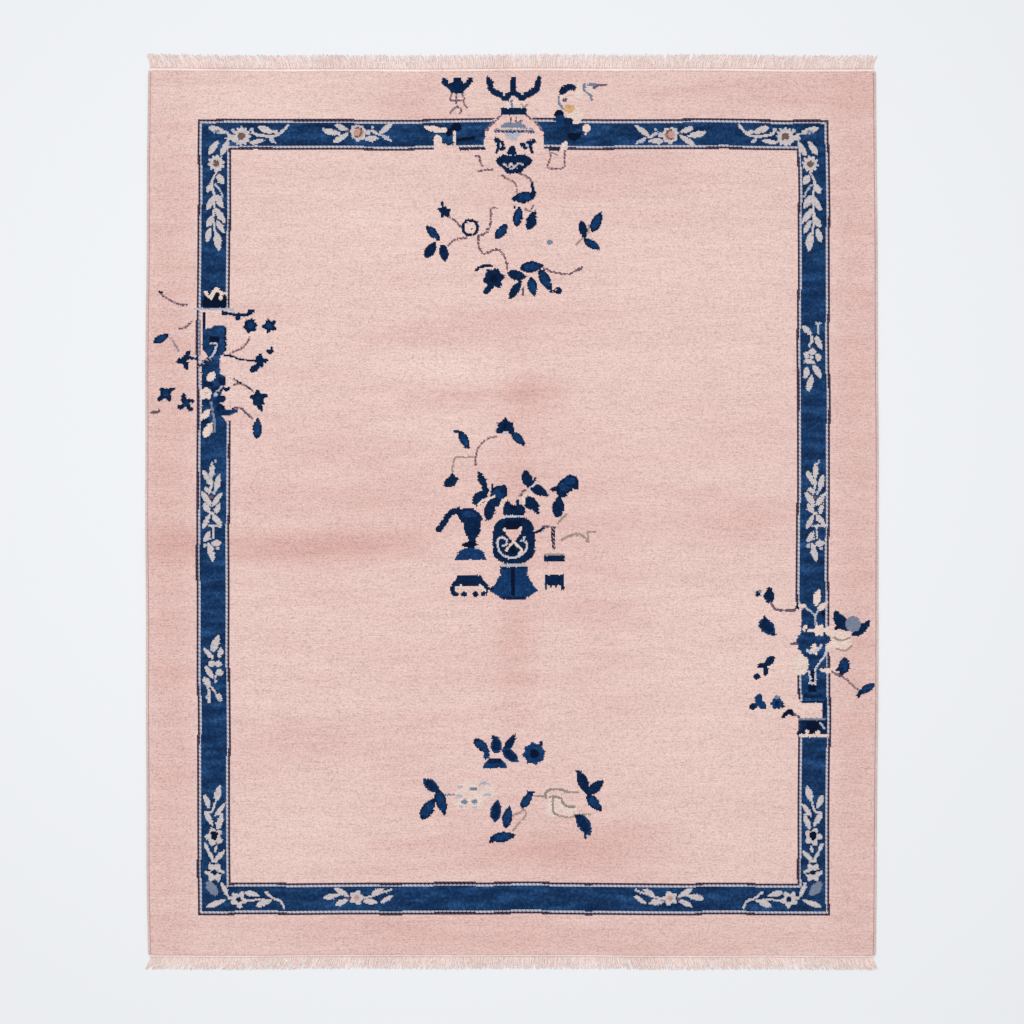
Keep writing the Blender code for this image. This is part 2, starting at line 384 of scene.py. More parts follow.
cornerSprayNorth = [
    ("leaf", 16.5, -11, 20, 7.4, -17, "spray"), ("disc", 16, -12, 3, 1.8, "greyBlue"),
    ("stem", "spray", 1.8, 0, ((25, -13), (29.5, -16))), ("leaf", 31, -18, 12, 6, 10, "spray"),
    ("flower", 40.5, -17, 9.8, 12, 0.22, 0, "spray", 3.9, "brown"), ("disc", 32, -11, 2, 1.8, "paleBlue"),
    ("stem", "spray", 2.2, 0, ((50, -11), (54, -14.5), (60, -16), (68, -17), (76, -16), (82, -11.5),
        (87, -6))), ("disc", 51, -10, 2, 1.8, "paleBlue"), ("leaf", 65, -10.5, 17, 7.6, -20, "spray"),
    ("leaf", 56.5, -22, 17, 5, 9, "spray"), ("leaf", 72, -21.5, 8, 3.4, -35, "paleBlue"),
    ("disc", 75, -12.5, 3, 2, "spray"), ("leaf", 13, -28, 17, 7, 56, "spray"),
    ("leaf", 24, -28.5, 18, 6.6, 62, "spray"),
    ("flower", 15.7, -44, 8.8, 10, 0.25, 9, "spray", 3.4, "brown"),
    ("stem", "spray", 1.8, 0, ((16, -53), (12.5, -59), (11.5, -66), (13.5, -75), (13.5, -86), (12.5, -96),
        (13.5, -106), (14.5, -114))), ("leaf", 20, -60, 11.5, 8, -58, "spray"),
    ("leaf", 9.5, -68, 12, 7.4, 58, "spray"),
    ("stem", "paleBlue", 1.7, 0, ((14.5, -65), (18.5, -69.5), (22, -76.5))),
    ("leaf", 10, -83, 18, 6.6, 62, "spray"), ("leaf", 19, -82, 15, 8, -62, "spray"),
    ("leaf", 19.5, -96, 19, 7.4, -55, "spray"), ("leaf", 10, -101, 15, 7, 58, "spray"),
    ("leaf", 19.7, -107.5, 15, 6, -60, "spray"), ("leaf", 7.8, -115, 15, 7, 74, "spray"),
    ("leaf", 17, -122, 19, 9, -82, "spray")]

cornerSpraySouth = [
    ("leaf", 17.5, 117.5, 17, 8, 75, "spray"), ("leaf", 6.5, 109, 15, 7, -68, "spray"),
    ("stem", "spray", 1.7, 0, ((14.5, 109), (13, 103), (11, 99), (6, 98))),
    ("leaf", 20, 101.5, 17, 5.4, 52, "spray"), ("stem", "spray", 1.6, 0, ((16, 96), (22, 97))),
    ("leaf", 8.5, 92, 18, 6.4, -60, "spray"), ("leaf", 19.5, 89.5, 18, 6.6, 70, "spray"),
    ("flower", 13.5, 74, 9.4, 5, 0.35, 36, "spray", 3.2, "inky"), ("disc", 13.5, 77, 4, 2.6, "inky"),
    ("leaf", 6, 63, 11, 4.4, -68, "spray"), ("leaf", 10, 55, 13, 4, -62, "spray"),
    ("leaf", 15, 62, 8, 3.2, 75, "spray"), ("leaf", 19, 55, 15, 5.6, 45, "spray"),
    ("stem", "spray", 2, 0, ((11, 50), (16, 50))),
    ("flower", 13.5, 38.5, 9.8, 6, 0.3, 0, "spray", 2.6, "navy"),
    ("stem", "navy", 1.2, 0, ((6, 41), (21, 37))), ("leaf", 11, 22, 18, 8.4, -50, "greyBlue"),
    ("leaf", 23.7, 21, 17, 5.4, -66, "spray"), ("leaf", 14.5, 7.5, 21, 6, 20, "spray"),
    ("flower", 37.5, 11.5, 9, 5, 0.4, 60, "spray", 2.8, "navy"), ("disc", 29.5, 13, 3, 2, "spray"),
    ("leaf", 51, 17, 16, 6.6, -14, "spray"), ("stem", "spray", 1.6, 0, ((46, 10.5), (54, 11), (63, 12))),
    ("leaf", 63, 8, 17, 7.4, 22, "spray"),
    ("stem", "spray", 1.8, 0, ((64.5, 18.5), (70, 14), (74, 11.5), (79, 10), (83, 3)))]

endSprayNorth = [
    ("leaf", -29, -3, 18, 7, -11, "spray"), ("leaf", -19, 1.5, 15, 6.4, -22, "spray"),
    ("leaf", -19.5, -8.5, 18, 6.8, 32, "spray"), ("disc", -12, -2, 2.2, 1.6, "stem"),
    ("disc", -37, -0.3, 1.8, 1.5, "paleBlue"), ("flower", -2, -3.8, 8.6, 7, 0.16, 8, "spray", 5.2, "rosy"),
    ("stem", "brown", 1.6, 0, ((-4, 1.3), (0, 0.5), (1, -3), (-2, -6.8), (-5.5, -7))),
    ("disc", -8, 2, 1.8, 1.8, "paleBlue"), ("disc", 7.5, -3, 2.2, 3, "spray"),
    ("disc", 12, 2, 1.4, 1.4, "paleBlue"), ("leaf", 13, -2.5, 9, 3.6, -20, "spray"),
    ("leaf", 11.5, -9.3, 15, 7, 3, "spray"), ("leaf", 25.5, 1, 18, 6.6, 38, "spray"),
    ("leaf", 26.5, -9, 14, 3.2, -30, "paleBlue"), ("stem", "spray", 1.6, 0, ((15, -4), (20, -6)))]

endSpraySouth = [
    ("leaf", -29, 4, 18, 6.6, 12, "spray"), ("leaf", -19, -2, 15, 6, 22, "spray"),
    ("leaf", -19, 8, 17, 6.4, -30, "spray"), ("flower", -4, 2.5, 7.8, 5, 0.3, 0, "spray", 3, "rosy"),
    ("stem", "spray", 1.6, 0, ((3, 2), (12, 4), (20, 7), (31, 10.5))),
    ("leaf", 10, -1.5, 15, 6.4, -6, "spray"), ("leaf", 17, 8.5, 13, 5.6, 24, "spray"),
    ("leaf", 26, 1, 15, 5, 30, "spray"), ("disc", -13, 2, 2, 1.5, "stem")]

longSpray = [
    ("disc", 5.7, 49.2, 1.3, 1.6, "paleBlue"), ("leaf", 2, 40, 17, 6.4, 86, "spray"),
    ("leaf", -3, 32.5, 17, 6, -64, "spray"), ("leaf", 8, 28, 18, 7, 78, "spray"),
    ("stem", "spray", 2, 0, ((1.5, 32), (2, 26), (-0.5, 17))), ("leaf", -1.5, 19.5, 9, 5, -30, "spray"),
    ("stem", "paleBlue", 1.6, 0, ((3.5, 16), (6, 20.5))), ("leaf", -3, 11, 18, 7, -56, "spray"),
    ("leaf", 7.5, 11, 17, 6.4, 54, "spray"), ("disc", 1.5, 13, 2.2, 1.6, "stem"),
    ("leaf", -2.7, 1.5, 12, 7, -52, "spray"), ("leaf", 8, 2, 12, 6, 66, "spray"),
    ("disc", 2, -3, 2.4, 2, "spray"), ("leaf", -3, -11, 17, 6, 62, "spray"),
    ("leaf", 7.3, -10, 15, 7, -50, "spray"), ("stem", "spray", 1.6, 0, ((-1, -16), (5, -15), (11, -17))),
    ("stem", "spray", 2, 0, ((3.5, -16), (3.5, -27))), ("leaf", -2.5, -26, 13, 6, 60, "spray"),
    ("disc", -5, -35.5, 1.6, 2.4, "paleBlue"), ("leaf", 6.8, -33, 10, 7.4, 10, "spray"),
    ("disc", 8, -38, 2, 1.2, "paleBlue"), ("leaf", 1, -42, 20, 7.4, -76, "spray"),
    ("stem", "spray", 1.6, 0, ((-4, -30), (1, -28)))]

shortSprayWest = [
    ("leaf", 5.5, 27, 19, 8.6, 70, "spray"), ("leaf", -1, 16.5, 16, 5, -46, "spray"),
    ("leaf", 10.5, 18, 11.5, 6.6, 76, "spray"), ("disc", 2, 6.7, 3.6, 3.2, "spray"),
    ("disc", 8.7, 6.4, 3.6, 3.2, "spray"), ("leaf", -0.5, -2, 15, 6.6, -58, "spray"),
    ("disc", 10, -1.8, 3.4, 3.4, "spray"), ("stem", "spray", 1.8, 0, ((7.5, -1), (5.5, -7))),
    ("disc", 6.3, -11, 1.7, 1.5, "paleBlue"), ("leaf", -3, -12, 12, 8, -62, "spray"),
    ("stem", "spray", 2.2, 0, ((-2, -17), (-0.7, -23), (-0.7, -31))),
    ("disc", -3.2, -27, 1.3, 1.8, "paleBlue"), ("stem", "spray", 1.8, 0, ((2, -17), (5.5, -22))),
    ("leaf", 9, -26, 9, 6.6, -50, "spray"), ("disc", 10, -29.7, 2.4, 1.4, "paleBlue")]

shortSprayEast = [
    ("stem", "paleBlue", 1.8, 0, ((8, 36.5), (7.8, 27.5))),
    ("stem", "paleBlue", 1.8, 0, ((5.5, 37), (9.5, 37))), ("leaf", -3.5, 29.8, 13, 6.6, -44, "spray"),
    ("stem", "spray", 2, 0, ((1, 25.5), (1, 19), (-1.7, 14.7))), ("leaf", 8, 17.5, 16, 6.8, -68, "spray"),
    ("disc", 1.5, 8.5, 3.8, 3.2, "spray"), ("disc", -4, 5, 2.6, 3.4, "spray"),
    ("disc", 7.3, 2.7, 3, 3.8, "spray"), ("leaf", -1, -1.3, 11, 6, -12, "spray"),
    ("disc", 1, 3, 2, 1.4, "spray"), ("disc", -5.5, -1.5, 1.7, 1.4, "paleBlue"),
    ("leaf", -4.5, -12.5, 13, 7, 80, "spray"), ("leaf", 6.5, -11.5, 17, 7.4, -60, "spray"),
    ("leaf", -1, -22.5, 17, 7.2, 76, "spray")]

northVase = [
    ("turned", 4, "ground", ((2, 17), (-1, 20), (-4, 22.5), (-8, 26), (-13, 29), (-20, 30), (-32, 30))),
    ("box", -76, -25, -58, -33, "ground"), ("box", -58, -28, -51, -33, "ground"),
    ("box", 39, -29, 50, -32.5, "guard"),
    ("turned", 4, "cream", ((22, 9), (19, 8), (16, 9), (13, 11), (10, 12))),
    ("stem", "greyBlue", 2, 0, ((1, 20), (1.5, 12))),
    ("stem", "greyGreen", 1, 1, ((11, 14), (14, 11), (17, 14))),
    ("turned", 3.5, "navy", ((10, 12.5), (9, 13), (4, 13), (3.5, 12))),
    ("stem", "white", 1.4, 1, ((-8, 2), (-1, 2))),
    ("stem", "stem", 1.2, 1, ((-9, 3), (-14, -1), (-19, -6), (-24, -12))),
    ("stem", "stem", 1.2, 1, ((16, 3), (22, -1), (28, -7), (32, -13))),
    ("stem", "stem", 1.2, 1, ((1, 1), (1, -4))), ("stem", "stem", 1.2, 1, ((6, 1), (6, -5), (12, -2))),
    ("turned", 3, "greyBlue", ((-5, 9), (-7, 12), (-9, 12.5))),
    ("turned", 4, "greyBlue", ((-10, 18), (-12, 20), (-14.5, 19))),
    ("stem", "midBlue", 2, 1, ((-15, -13), (23, -14))),
    ("stem", "cream", 1.2, 1, ((-13, -10.5), (21, -11))),
    ("turned", 3, "paleBlue", ((-15, 9), (-18, 6), (-22, 4))),
    # scrolled handles of the mouth
    ("stem", "navy", 6, 0, ((-21, 36), (-19, 29), (-13, 25), (-5, 22.5), (3, 24))),
    ("stem", "navy", 4, 0, ((-22.3, 40), (-21, 34))),
    ("stem", "navy", 6, 0, ((28, 36), (26, 29), (20, 25), (12, 22.5), (3, 24))),
    ("stem", "navy", 4, 0, ((29, 40), (28, 34))), ("disc", -5, 21, 5, 4, "navy"),
    ("disc", 11.5, 21, 5, 4, "navy"),
    ("turned", 3, "navy", ((41.5, 2.5), (38, 3), (28, 3), (23, 7), (21, 8))),
    ("disc", -6.3, 24, 1.4, 1.4, "white"), ("disc", 11.8, 24.4, 1.4, 1.4, "white"),
    ("turned", 3, "ground", ((22, 1.5), (19, 4))),
    # scrolls, bud and bowl on the belly
    ("stem", "navy", 4.5, 0, ((-14, -22), (-9, -25), (-7, -30))), ("disc", -8.5, -30, 2.8, 3, "navy"),
    ("stem", "navy", 2.5, 0, ((-13.5, -34), (-12, -29), (-12.5, -24))),
    ("disc", -9.5, -27.5, 1.2, 1.6, "white"), ("stem", "navy", 4.5, 0, ((23, -23), (18, -25.5), (15, -29))),
    ("disc", 12.5, -26.5, 3, 2.4, "navy"), ("stem", "navy", 2.8, 0, ((22, -34), (20.5, -29), (21, -24))),
    ("disc", 17, -27.5, 1.2, 1.6, "white"),
    ("turned", 2, "navy", ((-27.5, 1), (-30, 3), (-33, 4), (-36, 4.4))),
    ("turned", 4, "navy", ((-37, 12), (-40, 17), (-42, 18.6), (-45, 17.5), (-48, 14), (-51, 10),
        (-54, 8.5), (-55.6, 6))), ("disc", -0.5, -37, 1.3, 1, "white"), ("disc", 4.5, -37, 1.3, 1, "white"),
    ("stem", "white", 1.7, 1, ((-6, -46), (-2, -48.5), (1, -45.5), (4, -49), (8, -45.5), (13, -46.5))),
    ("stem", "white", 1.6, 0, ((1, -50), (6.5, -50))),
    # hanging bowl with its tassel
    ("turned", -53.5, "navy", ((41.5, 15), (39, 16), (36, 15.5), (33, 12.5), (30, 9), (27, 6.5),
        (25.5, 5.5))), ("disc", -61, 39, 3.2, 3, "ground"), ("disc", -45.5, 39, 3.2, 3, "ground"),
    ("box", -59, 43, -57, 39, "ground"), ("box", -49, 43, -46.5, 39, "ground"),
    ("disc", -63.5, 37.8, 1.6, 1.8, "navy"), ("disc", -43.2, 38, 1.6, 1.8, "navy"),
    ("stem", "stem", 1.4, 1, ((-59, 25), (-60, 19), (-47, 19), (-48.5, 25))),
    ("stem", "stem", 1.4, 1, ((-54.5, 25), (-53.8, 12))),
    ("stem", "stem", 1.4, 1, ((-48, 19), (-46, 14), (-43, 11))),
    ("stem", "stem", 1.4, 1, ((-54, 12), (-58, 9), (-60.5, 5))),
    ("stem", "stem", 1.4, 1, ((-54, 12), (-49, 9), (-51, 5))), ("disc", -53, 8, 2, 2, "cream"),
    # leaves over the band, west of the vase
    ("leaf", -76, -10, 22, 6.5, -14, "cream"), ("leaf", -72.5, -22, 13, 9, -80, "cream"),
    ("leaf", -79, -16, 10, 4, 70, "blue"), ("disc", -67, -11, 4, 2.5, "cream"),
    ("disc", -54, -8, 5, 4.5, "inky"), ("leaf", -61, -13, 10, 5, 70, "inky"),
    ("stem", "cream", 2, 0, ((-56, -13), (-55.6, -27))), ("stem", "inky", 3, 0, ((-52, -21), (-37, -19.5))),
    ("leaf", -62, -23, 9, 6, -50, "blue"), ("stem", "guard", 2, 0, ((-50, -30), (-26, -30))),
    ("stem", "stem", 1.7, 1, ((-34.5, -37.8), (-31, -38.5), (-30, -43), (-27.5, -48))),
    ("stem", "stem", 1.4, 1, ((-31.5, -52.5), (-17.5, -51))),
    # scroll, fruit and leaves, east of the vase
    ("leaf", 54, 29, 12, 7, 55, "navy"), ("leaf", 61, 31, 13, 6.5, -12, "navy"),
    ("leaf", 51, 26, 6, 4, 70, "navy"), ("box", 67, 34, 72, 23, "cream"), ("disc", 69, 26, 4, 6, "cream"),
    ("stem", "greyBlue", 2.4, 0, ((74.5, 34), (74, 29), (79, 25), (82, 19))),
    ("disc", 80, 30, 4.4, 4.4, "cream"), ("stem", "greyBlue", 2.2, 0, ((78, 33.7), (86, 34))),
    ("stem", "stem", 2, 0, ((84, 30.5), (89, 33.5), (96, 33.7))),
    ("stem", "greyBlue", 2, 0, ((48.5, 21), (49, 15), (52, 10))),
    ("stem", "cream", 2, 0, ((51, 22), (52, 16))), ("leaf", 55, 18.5, 5, 3, 30, "stem"),
    ("turned", 65, "cream", ((12, 3), (8, 7), (3, 9), (-2, 6), (-7, 2.5))),
    ("disc", 58.7, 9.8, 5.8, 4.2, "tan"), ("disc", 49, 4, 5, 4.5, "inky"),
    ("leaf", 51, -2, 12, 9, -40, "midBlue"), ("disc", 58, -3, 5, 4, "navy"),
    ("leaf", 65, -16, 16, 10, 24, "inky"), ("disc", 64, -10, 9, 5, "blue"),
    ("disc", 76.5, -9.5, 4.4, 4, "cream"), ("stem", "cream", 1.6, 0, ((76, -13), (75.5, -16))),
    ("leaf", 54.5, -28, 12, 7, 72, "cream"),
    ("stem", "stem", 1.4, 1, ((39, -33.5), (41, -38), (38.5, -44), (38.5, -49.5), (53, -49.5), (54.5, -40),
        (55, -32))), ("stem", "greyBlue", 1.3, 1, ((41, -34), (47, -36.5)))]

northSprays = [
    ("stem", "stem", 1.7, 1, ((-7, 63), (-2, 59), (4.5, 56), (6.5, 50), (7.5, 43))),
    ("stem", "stem", 1.8, 1, ((10, 64.5), (16, 62), (20.5, 58), (22.5, 52))),
    ("stem", "navy", 2.6, 0, ((22.3, 54), (23.3, 46))), ("leaf", 15, 41, 22, 10.5, 8, "navy", "midBlue"),
    ("leaf", 6, 40, 9, 5, 20, "navy"), ("leaf", 23, 44, 11, 5, 80, "navy"),
    ("leaf", 8, 22, 21, 8.5, 80, "navy", "midBlue"), ("box", 3.5, 32.5, 6, 30, "navy"),
    ("stem", "stem", 1.5, 1, ((23.5, 32.5), (19.5, 27), (15, 30))), ("leaf", 21.5, 18, 21, 9.5, 68, "navy"),
    ("leaf", -9, 7, 19, 8.5, 50, "navy", "midBlue"), ("flower", -65, 27, 6.6, 5, 0.35, 20, "navy"),
    ("stem", "navy", 2.4, 0, ((-68, 37), (-67, 30))), ("disc", -71, 30, 2.4, 1.6, "navy"),
    ("stem", "stem", 1.8, 1, ((-61, 22), (-55, 18), (-52, 14), (-47, 12))),
    ("ring", -40, 11, 7.4, 3, "navy"), ("disc", -40, 11, 4, 4, "cream"),
    ("disc", -38.5, 9.8, 1, 1, "brown"), ("leaf", -77, 6, 21, 7.5, -48, "navy", "midBlue"),
    ("leaf", -80, -10.5, 19, 9, 55, "navy"), ("leaf", -66.5, -14, 18, 8.5, -78, "navy"),
    ("stem", "stem", 1.8, 1, ((-62, -6), (-56, -1), (-50, 0.5), (-44, 1))),
    ("stem", "stem", 1.9, 1, ((-32, 3), (-24, 6), (-20, 14), (-19, 24), (-19, 30), (-13, 30.3))),
    ("stem", "stem", 1.9, 1, ((-32, 2), (-31.5, -8), (-27, -15), (-20, -13), (-13, -11), (-7, -16),
        (-4, -24), (-3, -31))), ("flower", -17, -40, 11.5, 6, 0.25, 10, "navy", 4, "inky"),
    ("stem", "navy", 2.6, 0, ((-34, -31), (-28, -27.5), (-19, -27.5))),
    ("leaf", -23, -51, 11, 6, 55, "navy"), ("disc", -26, -33, 2.6, 1.6, "ground"),
    ("leaf", 6.5, -37, 20, 9, -16, "navy"), ("leaf", 5, -51, 22, 7.5, 57, "navy"),
    ("leaf", 22, -48.5, 20, 8.5, -78, "navy", "midBlue"),
    ("leaf", 21.5, -28.5, 25, 10, 6, "navy", "midBlue"), ("leaf", 35, -42, 25, 9.5, -62, "navy", "midBlue"),
    ("stem", "stem", 2, 0, ((12.8, -50), (12.5, -56))), ("disc", 47.5, -52, 3.8, 3.6, "navy"),
    ("stem", "navy", 2, 1, ((39, -53), (45, -53))),
    ("stem", "stem", 1.8, 1, ((33, -29), (40, -33), (50, -35), (58, -35.5), (66, -32), (71, -29))),
    ("disc", 69, -30.5, 2.6, 1.6, "stem"), ("leaf", 73, 9, 20, 7.5, -80, "navy"),
    ("leaf", 86.5, 17, 23, 9, 65, "navy", "midBlue"), ("leaf", 82, -5.5, 20, 7.5, -32, "navy", "midBlue"),
    ("stem", "greyGreen", 1.4, 1, ((66, -6), (73, 1))), ("stem", "greyGreen", 1.2, 1, ((79, 14), (78, 4))),
    ("disc", 39.5, -4, 2.8, 2.8, "greyBlue")]

westVase = [
    ("box", -9, 41, 21, -71, "ground"),
    ("panel", "blue", ((21.5, -7, 16), (0, -7, 16.5), (-3, -4, 14), (-7, -2.5, 11), (-12, -8, 10),
        (-15, -8.5, 9.5), (-24, -8, 11), (-27, -8.5, 16), (-35, -8.5, 15.5), (-42, -8.5, 12),
        (-48, -8.5, 9.5), (-52, -8.5, 9), (-55, -8.5, 10), (-58, -8.5, 13), (-60, -8.5, 18),
        (-63, -8.5, 18), (-66, -8.5, 11.5), (-70, -8.5, 15), (-72, -8.5, 17))),
    ("stem", "paleBlue", 2.6, 0, ((-15, 40.5), (18, 40.5))), ("disc", 22, 40, 3, 1.6, "paleBlue"),
    ("turned", 5, "inky", ((54, 11), (50, 12), (42.5, 12))), ("flower", 5, 53, 9.5, 7, 0.2, 0, "inky"),
    ("stem", "cream", 3.4, 0, ((-4.5, 57), (-1.5, 53.5), (1.5, 54), (3.5, 58), (7, 59.5), (11, 56.5),
        (14.5, 56))), ("disc", 1, 52, 1.8, 2.4, "cream"), ("disc", 10.5, 52, 1.8, 2.4, "cream"),
    ("disc", 6.5, 60, 3.4, 2.2, "cream"), ("box", -7.5, 37, -4.5, 22, "navy"),
    ("turned", 9, "blue", ((24.5, 5), (21.5, 8))), ("stem", "navy", 2, 0, ((15.5, 20), (15.5, 0))),
    ("box", -0.5, 13.5, 9.5, 7, "inky"),
    ("stem", "white", 1.4, 0, ((1, 6.3), (6, 6), (5.5, 0), (2, -6), (-3, -10.5), (-8, -13.5), (-11, -16))),
    ("stem", "navy", 2, 1, ((1, -9), (-6, -13), (-12, -17))), ("leaf", 1.5, -26.5, 13, 8, 48, "cream"),
    ("flower", -4, -43.5, 6.6, 5, 0.25, 18, "cream", 1.4, "rosy"), ("disc", 5.3, -44.5, 2, 1.8, "paleBlue"),
    ("leaf", -2, -34.5, 11, 6, -10, "navy"), ("leaf", 12, -31, 10, 7, 50, "navy"),
    ("disc", 6, -39, 5, 3, "navy"), ("disc", 16, -39.5, 2.6, 1.8, "navy"), ("disc", 11, -49, 5, 4, "navy"),
    ("leaf", -4.5, -64.5, 14, 7, 50, "cream"), ("leaf", -2, -80, 17, 8.5, 62, "cream"),
    ("stem", "greyBlue", 2, 0, ((1, -52), (2.5, -62), (4, -70), (4.5, -81))),
    ("leaf", 10, -58, 10, 8, 0, "navy"), ("disc", -4, -71, 4, 3, "navy"),
    ("stem", "paleBlue", 1.5, 1, ((8, -41), (12, -36))),
    # flowering branch, east of the vase
    ("stem", "navy", 3.4, 0, ((13, 36.3), (26, 35.7), (36, 35), (43, 38.5))),
    ("disc", 28, 32, 3, 2.6, "navy"), ("disc", 41, 38.5, 3.8, 2.4, "navy"),
    ("stem", "cream", 1.6, 1, ((32, 30.5), (38, 32.4))),
    ("flower", 40.5, 24.2, 7.6, 6, 0.22, 12, "navy", 3, "midBlue"),
    ("flower", 59.8, 24, 8, 5, 0.4, 40, "navy", 3, "midBlue"), ("disc", 60, -1.3, 3.4, 3.2, "navy"),
    ("disc", 62, 2, 1.4, 1.6, "navy"), ("flower", 50.5, -12, 6, 5, 0.4, 0, "navy"),
    ("leaf", 49.5, -7.5, 9, 6, 80, "navy"), ("leaf", 54, -11, 10, 5, 10, "navy"),
    ("leaf", 45, -18, 12, 6, 35, "navy"),
    ("stem", "stem", 1.4, 1, ((40, 13), (37, 7), (31, 1), (23, -2), (18, -6))),
    ("stem", "navy", 1.8, 0, ((14, -5), (21, -6), (30, -9), (46, -11))),
    ("stem", "cream", 1.6, 1, ((16, -2), (21, 0))),
    ("flower", 48, -48, 8.6, 5, 0.35, 25, "navy", 2, "midBlue"), ("leaf", 50, -57, 9, 5, -70, "navy"),
    ("disc", 55, -46, 3, 2, "navy"), ("stem", "navy", 1.8, 1, ((24, -29), (30, -33), (36, -36), (43, -41))),
    ("stem", "navy", 1.6, 1, ((24, -35), (30, -33))),
    ("stem", "blue", 5.4, 0, ((12, -62), (19, -62.5), (25, -59.5))),
    ("stem", "stem", 2, 1, ((25, -59), (30, -57.5), (35, -62), (42, -68))),
    ("leaf", 47, -78, 21, 8.5, 88, "navy", "midBlue"), ("leaf", 18, -38.5, 6, 3, 20, "navy"),
    # stems and flowers in the margin
    ("disc", -49.5, 57, 2.4, 2, "inky"),
    ("stem", "stem", 1.6, 1, ((-49, 55), (-44, 51), (-37, 47), (-30, 45), (-23, 44.5))),
    ("stem", "stem", 1.2, 1, ((-18.5, 28), (-23, 23), (-30, 20))),
    ("leaf", -48.5, 10.5, 18, 7, 28, "navy", "midBlue"),
    ("stem", "greyBlue", 1.1, 1, ((-39, 11), (-35, 5), (-31, -2))),
    ("flower", -26, -11, 6.4, 3, 0.4, 60, "navy"), ("leaf", -22, -5, 10, 5, 65, "navy"),
    ("stem", "navy", 2.6, 0, ((-21, -9.5), (-13, -9.3))), ("leaf", -24, -17, 9, 4.5, -60, "navy"),
    ("leaf", -29.5, -12, 8, 5, 15, "navy"),
    ("flower", -44, -44.5, 7.6, 4, 0.35, 40, "navy", 2.6, "midBlue"),
    ("leaf", -37, -40, 7, 3.4, 10, "navy"), ("disc", -50, -50, 2.4, 2.2, "navy"),
    ("disc", -40.5, -50.5, 2, 2, "navy"), ("flower", -24, -54, 7, 4, 0.5, 45, "navy", 2.4, "midBlue"),
    ("leaf", -26, -47, 8, 4.4, 90, "navy"), ("disc", -29.5, -58, 3, 2.2, "navy"),
    ("disc", -19.5, -59.5, 3, 2.2, "navy"), ("disc", -17.5, -51.5, 2.4, 1.8, "navy"),
    ("stem", "stem", 2.4, 0, ((-58, -63.5), (-53, -63), (-50, -62)))]

